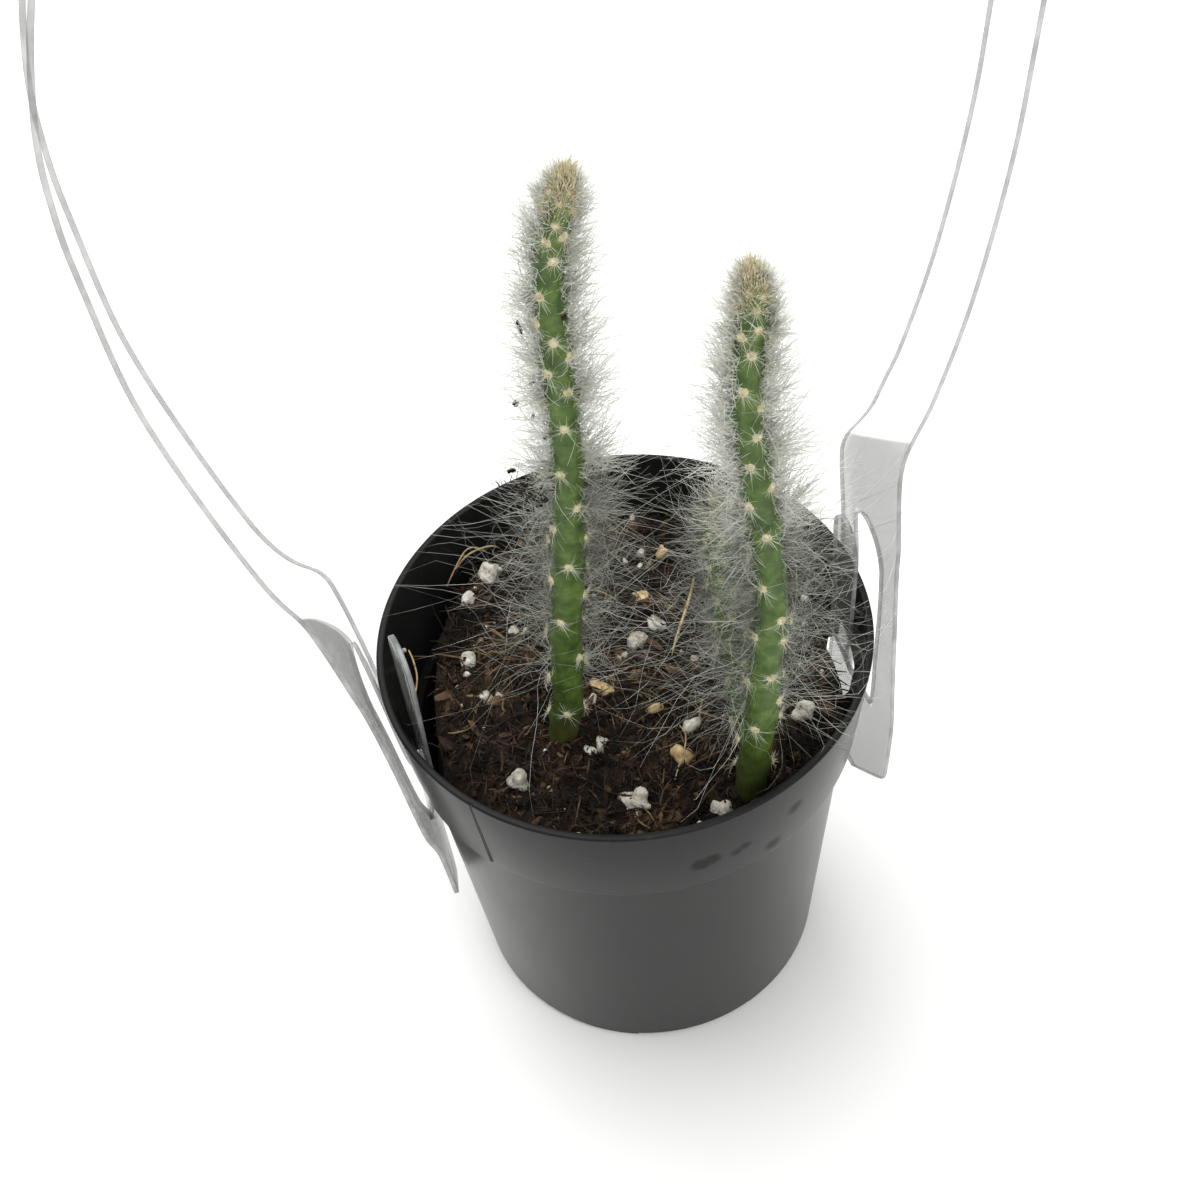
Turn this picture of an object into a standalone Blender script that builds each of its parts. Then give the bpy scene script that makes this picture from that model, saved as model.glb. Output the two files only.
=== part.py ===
# A young woolly cylindrical cactus in a thin black nursery pot, with a clear plastic hanger clipped to the pot.
# Metres, +Z up. The origin is the middle of the pot's base, on the surface that the pot stands on.

import math

import bmesh
import bpy
import numpy as np

# Small gap kept between pieces that touch
GAP = 0.0003

# Nursery pot
POT_HEIGHT = 0.0633
RIM_RADIUS = 0.0320
BAND_HEIGHT = 0.0151
BAND_FOOT_RADIUS = 0.0303
BODY_TOP_RADIUS = 0.0294
BASE_RADIUS = 0.0247
POT_WALL = 0.0010
STEP_HALF_HEIGHT = 0.0004
FLOOR_BOTTOM = 0.0008
FLOOR_TOP = 0.0020
EDGE_ROUND = 0.0003
POT_SIDES = 64
FOOT_OUTER_RADIUS = 0.0245
FOOT_INNER_RADIUS = 0.0215
FOOT_SPAN_DEG = 49.0
FOOT_STEPS = 8
FOOT_OVERLAP = 0.0006
FOOT_CENTRES_DEG = (237.0, 327.0, 57.0, 147.0)
DRAIN_RADIUS = 0.0019
DRAIN_SIDES = 16
CUTTER_REACH = 0.002
DRAIN_CIRCLE_RADIUS = 0.0180
DRAIN_ANGLES_DEG = (282.0, 12.0, 102.0, 192.0)

# Potting soil
SOIL_HEIGHT = 0.0541
SOIL_SECTORS = 44
SOIL_RINGS = 11
# Places where the soil has dried and drawn back from the wall: width, direction and spread in degrees
SHRINKS = (
    (0.0038, 182.0, 48.0),
    (0.0026, 5.0, 24.0),
)
MOUND_HEIGHT = 0.0018
MOUND_CENTRE = (-0.014, 0.010)
MOUND_SPREAD = 0.011
RIPPLE_HEIGHT = 0.00032
EDGE_GAP = GAP * 1.2
EDGE_BEVEL = 0.0004
STEM_HOLE_DEPTH = 0.0115
STEM_HOLE_RISE = 0.006
STEM_HOLE_GAP = GAP * 1.5

# White perlite grains that show on the soil: x, y and radius
PERLITE_GRAINS = (
    (-0.0004, -0.0206, 0.0019),
    (0.0218, -0.0100, 0.0017),
    (0.0046, 0.0073, 0.0012),
    (-0.0177, 0.0184, 0.0013),
    (-0.0205, 0.0134, 0.0011),
    (-0.0043, -0.0110, 0.0013),
    (0.0074, -0.0099, 0.0012),
    (0.0097, -0.0235, 0.0013),
    (-0.0150, -0.0160, 0.0012),
    (-0.0187, -0.0021, 0.0011),
    (-0.0207, 0.0030, 0.0010),
    (0.0200, 0.0118, 0.0012),
)
# Tan bark chips: x, y, half length and turn in degrees
BARK_CHIPS = (
    (0.0060, -0.0150, 0.0021, 20.0),
    (-0.0034, -0.0028, 0.0018, 75.0),
    (0.0063, 0.0200, 0.0019, 140.0),
    (0.0030, -0.0065, 0.0017, -30.0),
    (0.0027, 0.0130, 0.0016, 50.0),
)
CRUMB_COUNT = 26
CRUMB_RADIUS = (0.0008, 0.0014)
CRUMB_REACH = 0.0272
CRUMB_EDGE_GAP = 0.0012
GRAIN_SPACING = 0.0006
STEM_CLEARANCE = 0.0030

# Stems: points x, y, z and radius of the stem's skin between its tubercles, from the soil to the tip
LEFT_ROUTE = (
    (-0.0092, -0.0093, 0.0540, 0.00190),
    (-0.0077, -0.0091, 0.0620, 0.00190),
    (-0.0070, -0.0087, 0.0730, 0.00185),
    (-0.0055, -0.0083, 0.0870, 0.00180),
    (-0.0042, -0.0078, 0.1040, 0.00170),
    (-0.0040, -0.0073, 0.1210, 0.00158),
    (-0.0038, -0.0071, 0.1280, 0.00150),
    (-0.0025, -0.0069, 0.1340, 0.00140),
    (-0.0009, -0.0067, 0.1403, 0.00125),
)
RIGHT_ROUTE = (
    (0.0138, -0.0202, 0.0540, 0.00190),
    (0.0149, -0.0199, 0.0650, 0.00190),
    (0.0163, -0.0194, 0.0820, 0.00180),
    (0.01675, -0.0191, 0.0900, 0.00175),
    (0.0160, -0.0188, 0.1010, 0.00170),
    (0.0148, -0.0185, 0.1120, 0.00160),
    (0.0144, -0.0182, 0.1200, 0.00150),
    (0.0151, -0.0180, 0.1290, 0.00140),
    (0.0151, -0.0178, 0.1354, 0.00125),
)
BRANCH_ROUTE = (
    (0.0146, -0.0198, 0.0590, 0.00120),
    (0.0139, -0.0160, 0.0635, 0.00135),
    (0.0131, -0.0132, 0.0710, 0.00140),
    (0.0124, -0.0120, 0.0790, 0.00135),
    (0.0118, -0.0112, 0.0870, 0.00130),
    (0.0116, -0.0108, 0.0970, 0.00115),
)
STEM_SIDES = 12
BRANCH_SIDES = 9
RING_SPACING = 0.0011
BURIED_LENGTH = 0.0100
TUBERCLE_HEIGHT = 0.00042
TUBERCLE_SPREAD = 0.00048
GOLDEN_ANGLE_DEG = 137.5
TIP_CLEAR = 0.0006
FIRST_SPACING = 0.00035
SPACING_GROWTH = 0.03
WIDEST_SPACING = 0.00125
BARE_FOOT = 0.0026
DOME_START = 0.0016
DOME_LENGTH = 0.0018
TIP_RISE = 0.0003

# Spines
SPINE_RADIUS = 0.00013
SPINE_ROOT = 0.00045
SPINE_LENGTH = (0.0014, 0.0026)
SPINES_PER_AREOLE = 2
TIP_SPINES = 12
TIP_SPINE_LENGTH = (0.0009, 0.0016)
TIP_SPINE_ROOT = 0.0011
TIP_SPINE_CIRCLE = 0.0007
SPINE_SINK = 0.0002
SPINE_APART = 0.0002
BRANCH_BARE_FOOT = 0.0060

# Clear hanger: one strip of clear sheet with a slotted tab at each end. Lengths run up from the tab's point
SHEET = 0.0006
STRAP_HALF_WIDTH = 0.00495
TAB_HALF_WIDTH = 0.0097
TAB_POINT_WIDTH = 0.0011
TAB_POINT_LENGTH = 0.0070
TAB_CORNER_ROUND = 0.0012
TAB_CORNER_CUTS = (0.0016, 0.0003)
SLOT_START = 0.0160
SLOT_END = 0.0475
SLOT_LOW_HALF_WIDTH = 0.0034
SLOT_HIGH_HALF_WIDTH = 0.0047
SLIT_WIDTH = 0.0008
SHOULDER_START = 0.0505
SHOULDER_END = 0.0645
STRAP_STEP = 0.0065
SHOULDER_STEP = 0.0032
SHOULDER_ROWS = 6
ARCH_ANGLES_DEG = (25, 50, 72, 90)
TONGUE_END_ANGLES_DEG = (25, 50, 75)
SLOT_ROWS = 12
ARCH_CLEARANCE = 0.002
# Middle line of the strip from the left tab's point round the loop to the right tab's point:
# x, y, z and the direction of the strip's width, in degrees from +X
HANGER_ROUTE = (
    (-0.0270, -0.0093, 0.0268, 101.0),
    (-0.0283, -0.0089, 0.0426, 101.0),
    (-0.0297, -0.0088, 0.0483, 101.0),
    (-0.0315, -0.0085, 0.0633, 101.0),
    (-0.0329, -0.0086, 0.0738, 101.0),
    (-0.0341, -0.0091, 0.0800, 101.0),
    (-0.0364, -0.0100, 0.0872, 101.5),
    (-0.0393, -0.0110, 0.0951, 102.0),
    (-0.0430, -0.0124, 0.1118, 102.0),
    (-0.0454, -0.0134, 0.1265, 102.0),
    (-0.0460, -0.0140, 0.1403, 102.0),
    (-0.0459, -0.0145, 0.1490, 102.0),
    (-0.0449, -0.0143, 0.1580, 102.0),
    (-0.0414, -0.0136, 0.1700, 102.0),
    (-0.0355, -0.0123, 0.1830, 102.0),
    (-0.0270, -0.0105, 0.1970, 102.0),
    (-0.0145, -0.0078, 0.2100, 102.0),
    (0.0010, -0.0045, 0.2180, 102.0),
    (0.0165, -0.0013, 0.2160, 102.0),
    (0.0300, 0.0016, 0.2050, 102.0),
    (0.0390, 0.0035, 0.1890, 102.0),
    (0.0431, 0.0044, 0.1720, 102.0),
    (0.0438, 0.0046, 0.1580, 102.0),
    (0.0431, 0.0045, 0.1420, 102.0),
    (0.0422, 0.0046, 0.1294, 102.0),
    (0.0398, 0.0046, 0.1127, 102.0),
    (0.0367, 0.0045, 0.0990, 102.0),
    (0.0346, 0.0045, 0.0925, 102.0),
    (0.0329, 0.0046, 0.0861, 102.0),
    (0.0320, 0.0048, 0.0775, 101.5),
    (0.03235, 0.00435, 0.0633, 100.5),
    (0.0321, 0.0037, 0.0530, 103.0),
    (0.0319, 0.0031, 0.0426, 105.0),
    (0.0308, 0.0020, 0.0266, 105.0),
)
# Tongues: they leave the sheet at the slot's foot, pass in through the pot's wall and stand inside it
LEFT_TONGUE = (
    (-0.0271, -0.0098, 0.0525, 106.0),
    (-0.0271, -0.0098, 0.0600, 108.0),
    (-0.0271, -0.0097, 0.0765, 110.0),
)
RIGHT_TONGUE = (
    (0.0287, 0.0026, 0.0525, 100.0),
    (0.0288, 0.0026, 0.0600, 100.0),
    (0.0289, 0.0026, 0.0765, 100.0),
)
# Windows in the pot's wall that the tongues pass through: direction, lowest and highest point
WINDOWS = (
    (199.0, 0.0428, 0.0515),
    (5.2, 0.0458, 0.0536),
)
WINDOW_HALF_WIDTH = 0.0050
WINDOW_REACH = (0.0265, 0.0330)


def clear_scene():
    for old in list(bpy.data.objects):
        bpy.data.objects.remove(old, do_unlink=True)


def linear(value):
    return value / 12.92 if value <= 0.04045 else ((value + 0.055) / 1.055) ** 2.4


def finish_material(name, srgb, roughness, transmission=0.0, ior=1.5):
    material = bpy.data.materials.new(name)
    material.use_nodes = True
    shader = material.node_tree.nodes["Principled BSDF"]
    colour = [linear(int(srgb[i:i + 2], 16) / 255) for i in (0, 2, 4)]
    shader.inputs["Base Color"].default_value = (*colour, 1.0)
    shader.inputs["Roughness"].default_value = roughness
    shader.inputs["Metallic"].default_value = 0.0
    shader.inputs["IOR"].default_value = ior
    shader.inputs["Transmission Weight"].default_value = transmission
    return material


def add_object(name, mesh, material):
    shape = bpy.data.objects.new(name, mesh)
    bpy.context.scene.collection.objects.link(shape)
    if material is not None:
        mesh.materials.append(material)
    return shape


def mesh_from(name, points, faces, smooth=True):
    mesh = bpy.data.meshes.new(name)
    mesh.from_pydata([tuple(p) for p in points], [], faces)
    work = bmesh.new()
    work.from_mesh(mesh)
    bmesh.ops.recalc_face_normals(work, faces=work.faces)
    work.to_mesh(mesh)
    work.free()
    if smooth:
        mesh.shade_smooth()
        mesh.set_sharp_from_angle(angle=math.radians(35))
    return mesh


def ringed_mesh(name, first, rings, last):
    # Closed skin over a stack of rings, with a single point before the first ring and one after the last
    count = len(rings[0])
    points = [first]
    for ring in rings:
        points.extend(ring)
    points.append(last)
    faces = []
    for j in range(count):
        faces.append((0, 1 + j, 1 + (j + 1) % count))
    for i in range(len(rings) - 1):
        low = 1 + i * count
        high = low + count
        for j in range(count):
            k = (j + 1) % count
            faces.append((low + j, high + j, high + k, low + k))
    top = 1 + (len(rings) - 1) * count
    for j in range(count):
        faces.append((top + j, len(points) - 1, top + (j + 1) % count))
    return mesh_from(name, points, faces)


def circle_ring(radius, height, sides):
    angle = np.arange(sides) * 2 * math.pi / sides
    return np.column_stack([radius * np.cos(angle), radius * np.sin(angle), np.full(sides, height)])


def smooth_curve(points, spacing):
    # Catmull-Rom curve through the points, read again at even distances along it
    given = np.array(points, float)
    ends = np.vstack([2 * given[0] - given[1], given, 2 * given[-1] - given[-2]])
    u = np.linspace(0, 1, 24, endpoint=False)[:, None]
    runs = []
    for a, b, c, d in zip(ends[:-3], ends[1:-2], ends[2:-1], ends[3:]):
        cubic = (3 * b - a - 3 * c + d) * u ** 3
        runs.append(0.5 * (2 * b + (c - a) * u + (2 * a - 5 * b + 4 * c - d) * u ** 2 + cubic))
    dense = np.vstack(runs + [given[-1:]])
    steps = np.linalg.norm(np.diff(dense[:, :3], axis=0), axis=1)
    distance = np.concatenate([[0.0], np.cumsum(steps)])
    count = max(3, int(round(distance[-1] / spacing)) + 1)
    even = np.linspace(0, distance[-1], count)
    columns = [np.interp(even, distance, dense[:, i]) for i in range(given.shape[1])]
    return np.column_stack(columns), even


def directions(points):
    along = np.gradient(points, axis=0)
    return along / np.linalg.norm(along, axis=1)[:, None]


def join_into(body, pieces, solver):
    # One Boolean union of the pieces with the body, applied, and the pieces removed
    group = bpy.data.collections.new(body.name + "_repeats")
    bpy.context.scene.collection.children.link(group)
    for piece in pieces:
        group.objects.link(piece)
        bpy.context.scene.collection.objects.unlink(piece)
    union = body.modifiers.new("union", "BOOLEAN")
    union.operation = "UNION"
    union.operand_type = "COLLECTION"
    union.collection = group
    union.solver = solver
    bpy.context.view_layer.update()
    graph = bpy.context.evaluated_depsgraph_get()
    joined = bpy.data.meshes.new_from_object(body.evaluated_get(graph))
    body.modifiers.remove(union)
    body.data = joined
    for piece in pieces:
        bpy.data.objects.remove(piece, do_unlink=True)
    bpy.data.collections.remove(group)


def hide_cutter(cutter):
    cutter.hide_render = True
    cutter.display_type = "WIRE"
    return cutter


def cut_with(body, cutter):
    cut = body.modifiers.new(cutter.name, "BOOLEAN")
    cut.operation = "DIFFERENCE"
    cut.solver = "EXACT"
    cut.object = cutter


# Pot

def wall_radius(height):
    # Inner radius of the pot at a height, above the floor
    band_foot = POT_HEIGHT - BAND_HEIGHT
    heights = (FLOOR_TOP, band_foot - STEP_HALF_HEIGHT, band_foot + STEP_HALF_HEIGHT, POT_HEIGHT)
    radii = (BASE_RADIUS, BODY_TOP_RADIUS, BAND_FOOT_RADIUS, RIM_RADIUS)
    return np.interp(height, heights, radii) - POT_WALL


def foot_mesh():
    # Four arc feet, each a bent block that reaches up into the pot's floor
    points = []
    faces = []
    for centre in FOOT_CENTRES_DEG:
        start = len(points)
        for i in range(FOOT_STEPS + 1):
            angle = math.radians(centre + FOOT_SPAN_DEG * (i / FOOT_STEPS - 0.5))
            for radius, height in (
                (FOOT_INNER_RADIUS, 0.0),
                (FOOT_OUTER_RADIUS, 0.0),
                (FOOT_OUTER_RADIUS, FLOOR_BOTTOM + FOOT_OVERLAP),
                (FOOT_INNER_RADIUS, FLOOR_BOTTOM + FOOT_OVERLAP),
            ):
                points.append((radius * math.cos(angle), radius * math.sin(angle), height))
        for i in range(FOOT_STEPS):
            low = start + 4 * i
            for j in range(4):
                k = (j + 1) % 4
                faces.append((low + j, low + k, low + 4 + k, low + 4 + j))
        faces.append((start, start + 3, start + 2, start + 1))
        end = start + 4 * FOOT_STEPS
        faces.append((end, end + 1, end + 2, end + 3))
    return mesh_from("feet", points, faces)


def drain_cutter():
    points = []
    faces = []
    sides = DRAIN_SIDES
    for drain in DRAIN_ANGLES_DEG:
        start = len(points)
        x = DRAIN_CIRCLE_RADIUS * math.cos(math.radians(drain))
        y = DRAIN_CIRCLE_RADIUS * math.sin(math.radians(drain))
        for height in (FLOOR_BOTTOM - CUTTER_REACH, FLOOR_TOP + CUTTER_REACH):
            for i in range(sides):
                angle = 2 * math.pi * i / sides
                points.append((x + DRAIN_RADIUS * math.cos(angle), y + DRAIN_RADIUS * math.sin(angle), height))
        faces.append(tuple(start + sides - 1 - i for i in range(sides)))
        faces.append(tuple(start + sides + i for i in range(sides)))
        for i in range(sides):
            k = (i + 1) % sides
            faces.append((start + i, start + k, start + sides + k, start + sides + i))
    return hide_cutter(add_object("drain_cutter", mesh_from("drain_cutter", points, faces), None))


def window_cutter():
    # Two upright blocks across the wall, each square to its own direction
    points = []
    faces = []
    for direction, low, high in WINDOWS:
        start = len(points)
        out = np.array([math.cos(math.radians(direction)), math.sin(math.radians(direction)), 0.0])
        across = np.array([-out[1], out[0], 0.0])
        for height in (low, high):
            for reach, side in ((0, -1), (1, -1), (1, 1), (0, 1)):
                point = out * WINDOW_REACH[reach] + across * side * WINDOW_HALF_WIDTH
                points.append((point[0], point[1], height))
        faces.append((start + 3, start + 2, start + 1, start))
        faces.append((start + 4, start + 5, start + 6, start + 7))
        for i in range(4):
            k = (i + 1) % 4
            faces.append((start + i, start + k, start + 4 + k, start + 4 + i))
    return hide_cutter(add_object("window_cutter", mesh_from("window_cutter", points, faces, False), None))


def build_pot():
    band_foot = POT_HEIGHT - BAND_HEIGHT
    profile = (
        (BASE_RADIUS - EDGE_ROUND, FLOOR_BOTTOM),
        (BASE_RADIUS, FLOOR_BOTTOM + EDGE_ROUND),
        (BODY_TOP_RADIUS, band_foot),
        (BAND_FOOT_RADIUS - EDGE_ROUND, band_foot),
        (BAND_FOOT_RADIUS, band_foot + EDGE_ROUND),
        (RIM_RADIUS, POT_HEIGHT - EDGE_ROUND),
        (RIM_RADIUS - EDGE_ROUND, POT_HEIGHT),
        (RIM_RADIUS - POT_WALL + EDGE_ROUND, POT_HEIGHT),
        (wall_radius(POT_HEIGHT - EDGE_ROUND), POT_HEIGHT - EDGE_ROUND),
        (wall_radius(band_foot + STEP_HALF_HEIGHT), band_foot + STEP_HALF_HEIGHT),
        (wall_radius(band_foot - STEP_HALF_HEIGHT), band_foot - STEP_HALF_HEIGHT),
        (wall_radius(FLOOR_TOP), FLOOR_TOP),
    )
    rings = [circle_ring(radius, height, POT_SIDES) for radius, height in profile]
    mesh = ringed_mesh("nursery_pot", (0, 0, FLOOR_BOTTOM), rings, (0, 0, FLOOR_TOP))
    plastic = finish_material("black_polypropylene", "1c1d1f", 0.38)
    pot = add_object("nursery_pot", mesh, plastic)
    feet = add_object("pot_feet", foot_mesh(), None)
    join_into(pot, [feet], "EXACT")
    cut_with(pot, drain_cutter())
    cut_with(pot, window_cutter())
    return pot


# Soil

def angle_from(angle_deg, centre_deg):
    return (angle_deg - centre_deg + 180.0) % 360.0 - 180.0


def soil_height(x, y):
    # Level top with a low mound towards the back left and gentle ripples
    mound = (x - MOUND_CENTRE[0]) ** 2 + (y - MOUND_CENTRE[1]) ** 2
    ripple = np.sin(620 * x + 1.3) * np.cos(540 * y - 0.4) + 0.7 * np.sin(910 * x - 760 * y)
    return SOIL_HEIGHT + MOUND_HEIGHT * np.exp(-mound / (2 * MOUND_SPREAD ** 2)) + RIPPLE_HEIGHT * ripple


def soil_edge(angle_deg, height):
    # The soil meets the wall but for two places, where it has dried and drawn back near its top
    shrink = 0.0
    for width, centre, spread in SHRINKS:
        shrink = shrink + width * np.exp(-1.4 * (angle_from(angle_deg, centre) / spread) ** 2)
    depth = np.interp(height, (0.040, 0.047, 0.0545), (0.0, 0.55, 1.0))
    return wall_radius(height) - EDGE_GAP - shrink * depth


def soil_mesh():
    angle = np.arange(SOIL_SECTORS) * 360.0 / SOIL_SECTORS
    cos = np.cos(np.radians(angle))
    sin = np.sin(np.radians(angle))
    floor = FLOOR_TOP + GAP
    band_foot = POT_HEIGHT - BAND_HEIGHT
    rings = []
    for height in (floor, 0.040, band_foot - 0.0008, band_foot + 0.0010, SOIL_HEIGHT - 0.0009):
        radius = soil_edge(angle, height)
        rings.append(np.column_stack([radius * cos, radius * sin, np.full(SOIL_SECTORS, height)]))
    edge = soil_edge(angle, SOIL_HEIGHT)
    for i in range(SOIL_RINGS):
        share = 1.0 - i / SOIL_RINGS
        radius = (edge - EDGE_BEVEL) * share
        x = radius * cos
        y = radius * sin
        rings.append(np.column_stack([x, y, soil_height(x, y)]))
    return ringed_mesh("potting_soil", (0, 0, floor), rings, (0, 0, float(soil_height(0.0, 0.0))))


def lump_mesh(name, centre, radii, turn, rng):
    # A rough grain: a twenty-sided ball, stretched, turned and knocked out of true
    work = bmesh.new()
    bmesh.ops.create_icosphere(work, subdivisions=1, radius=1.0)
    cos = math.cos(turn)
    sin = math.sin(turn)
    for vertex in work.verts:
        x, y, z = vertex.co * rng.uniform(0.82, 1.12)
        x, y, z = x * radii[0], y * radii[1], z * radii[2]
        vertex.co = (centre[0] + x * cos - y * sin, centre[1] + x * sin + y * cos, centre[2] + z)
    mesh = bpy.data.meshes.new(name)
    work.to_mesh(mesh)
    work.free()
    return mesh


def stem_feet():
    return [np.array(route[0][:2]) for route in (LEFT_ROUTE, RIGHT_ROUTE)]


def soil_grains(rng):
    lumps = []
    taken = [(foot[0], foot[1], STEM_CLEARANCE) for foot in stem_feet()]
    for i, (x, y, radius) in enumerate(PERLITE_GRAINS):
        centre = (x, y, float(soil_height(x, y)) + 0.25 * radius)
        mesh = lump_mesh(f"perlite_{i}", centre, (radius, radius * 0.9, radius * 0.85), rng.uniform(0, 3), rng)
        lumps.append(add_object(f"perlite_{i}", mesh, None))
        taken.append((x, y, radius))
    for i, (x, y, half, turn) in enumerate(BARK_CHIPS):
        centre = (x, y, float(soil_height(x, y)) + 0.0002)
        mesh = lump_mesh(f"bark_{i}", centre, (half, half * 0.55, half * 0.4), math.radians(turn), rng)
        lumps.append(add_object(f"bark_{i}", mesh, None))
        taken.append((x, y, half))
    crumbs = 0
    while crumbs < CRUMB_COUNT:
        reach = CRUMB_REACH * math.sqrt(rng.uniform(0, 1))
        angle = rng.uniform(0, 360)
        radius = rng.uniform(*CRUMB_RADIUS)
        if reach + radius > float(soil_edge(angle, SOIL_HEIGHT)) - CRUMB_EDGE_GAP:
            continue
        x = reach * math.cos(math.radians(angle))
        y = reach * math.sin(math.radians(angle))
        if any(math.hypot(x - a, y - b) < radius + c + GRAIN_SPACING for a, b, c in taken):
            continue
        centre = (x, y, float(soil_height(x, y)) + 0.1 * radius)
        mesh = lump_mesh(f"crumb_{crumbs}", centre, (radius, radius * 0.8, radius * 0.7), rng.uniform(0, 3), rng)
        lumps.append(add_object(f"crumb_{crumbs}", mesh, None))
        taken.append((x, y, radius))
        crumbs += 1
    return lumps


def stem_hole(name, route):
    # A plain hole round the buried foot of a stem, along the foot's own line
    foot = np.array(route[0][:3])
    line = np.array(route[1][:3]) - foot
    line /= np.linalg.norm(line)
    side = np.cross(line, (0, 1, 0))
    side /= np.linalg.norm(side)
    front = np.cross(line, side)
    angle = np.arange(STEM_SIDES * 2) * math.pi / STEM_SIDES
    radius = route[0][3] + STEM_HOLE_GAP
    ring = radius * (np.cos(angle)[:, None] * side + np.sin(angle)[:, None] * front)
    low = foot - line * STEM_HOLE_DEPTH
    high = foot + line * STEM_HOLE_RISE
    mesh = ringed_mesh(name, low, [ring + low, ring + high], high)
    return hide_cutter(add_object(name, mesh, None))


def build_soil():
    rng = np.random.default_rng(11)
    peat = finish_material("peat_mix", "2f2620", 0.95)
    soil = add_object("potting_soil", soil_mesh(), peat)
    join_into(soil, soil_grains(rng), "MANIFOLD")
    cut_with(soil, stem_hole("left_hole", LEFT_ROUTE))
    cut_with(soil, stem_hole("right_hole", RIGHT_ROUTE))
    return soil


# Stems

def areole_places(length, phase):
    # Areoles climb the stem on a golden-angle spiral, close together at the growing tip
    places = []
    from_tip = TIP_CLEAR
    turn = phase
    while from_tip < length - BARE_FOOT:
        places.append((length - from_tip, math.radians(turn % 360.0)))
        from_tip += min(WIDEST_SPACING, FIRST_SPACING + SPACING_GROWTH * from_tip)
        turn += GOLDEN_ANGLE_DEG
    return places


def stem_frame(route, spacing):
    curve, distance = smooth_curve(route, spacing)
    centre = curve[:, :3]
    along = directions(centre)
    side = np.array([1.0, 0.0, 0.0]) - along * along[:, :1]
    side /= np.linalg.norm(side, axis=1)[:, None]
    front = np.cross(along, side)
    return centre, curve[:, 3], along, side, front, distance


def stem_skin(name, route, sides, places, buried):
    centre, radius, along, side, front, distance = stem_frame(route, RING_SPACING)
    length = distance[-1]
    angle = np.arange(sides) * 2 * math.pi / sides
    dome = np.sqrt(np.clip(1.0 - np.clip((distance - length + DOME_START) / DOME_LENGTH, 0, 1) ** 2, 0, 1))
    skin = (radius * dome)[:, None] * np.ones(sides)[None, :]
    for place, turn in places:
        apart = np.angle(np.exp(1j * (angle - turn)))[None, :] * radius[:, None]
        square = apart ** 2 + (distance - place)[:, None] ** 2
        skin = skin + TUBERCLE_HEIGHT * dome[:, None] * np.exp(-square / (2 * TUBERCLE_SPREAD ** 2))
    out = np.cos(angle)[None, :, None] * side[:, None, :] + np.sin(angle)[None, :, None] * front[:, None, :]
    rings = list(centre[:, None, :] + skin[:, :, None] * out)
    if buried > 0:
        foot = centre[0] - along[0] * buried
        rings[0] = centre[0] + radius[0] * out[0]
        rings.insert(0, foot + radius[0] * out[0])
    else:
        foot = centre[0]
    tip = centre[-1] + along[-1] * TIP_RISE
    return ringed_mesh(name, foot, rings, tip)


def spine_mesh(name, root, direction, length, radius):
    # A three-sided needle, its root sunk in the stem
    helper = np.array([0.0, 0.0, 1.0]) if abs(direction[2]) < 0.8 else np.array([1.0, 0.0, 0.0])
    side = np.cross(direction, helper)
    side /= np.linalg.norm(side)
    front = np.cross(direction, side)
    points = []
    for i in range(3):
        angle = 2 * math.pi * i / 3
        points.append(root + radius * (math.cos(angle) * side + math.sin(angle) * front))
    points.append(root + direction * length)
    faces = [(0, 2, 1), (0, 1, 3), (1, 2, 3), (2, 0, 3)]
    return mesh_from(name, points, faces, smooth=False)


def stem_spines(name, route, places, rng):
    centre, radius, along, side, front, distance = stem_frame(route, RING_SPACING)
    length = distance[-1]
    spines = []

    def at(place, rows):
        return np.array([np.interp(place, distance, rows[:, i]) for i in range(3)])

    for number, (place, turn) in enumerate(places):
        here = at(place, centre)
        up = at(place, along)
        out = math.cos(turn) * at(place, side) + math.sin(turn) * at(place, front)
        across = np.cross(up, out)
        skin = float(np.interp(place, distance, radius))
        for i in range(SPINES_PER_AREOLE):
            lift = math.radians(rng.uniform(8, 30) if i == 0 else rng.uniform(38, 62))
            fan = math.radians(rng.uniform(-38, 38))
            direction = math.cos(lift) * (math.cos(fan) * out + math.sin(fan) * across) + math.sin(lift) * up
            depth = skin + TUBERCLE_HEIGHT - SPINE_ROOT - SPINE_SINK
            root = here + out * depth + across * SPINE_APART * (2 * i - 1)
            reach = SPINE_ROOT + rng.uniform(*SPINE_LENGTH) * min(1.0, 0.75 + 30 * (length - place))
            mesh = spine_mesh(f"{name}_spine_{number}_{i}", root, direction, reach, SPINE_RADIUS)
            spines.append(add_object(mesh.name, mesh, None))
    for i in range(TIP_SPINES):
        turn = math.radians(GOLDEN_ANGLE_DEG * i)
        lean = math.radians(6 + 26 * math.sqrt(i / TIP_SPINES))
        out = math.cos(turn) * side[-1] + math.sin(turn) * front[-1]
        direction = math.cos(lean) * along[-1] + math.sin(lean) * out
        root = centre[-1] - along[-1] * TIP_SPINE_ROOT + out * TIP_SPINE_CIRCLE * math.sqrt(i / TIP_SPINES)
        reach = TIP_SPINE_ROOT + rng.uniform(*TIP_SPINE_LENGTH)
        mesh = spine_mesh(f"{name}_tip_spine_{i}", root, direction, reach, SPINE_RADIUS)
        spines.append(add_object(mesh.name, mesh, None))
    return spines


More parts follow.
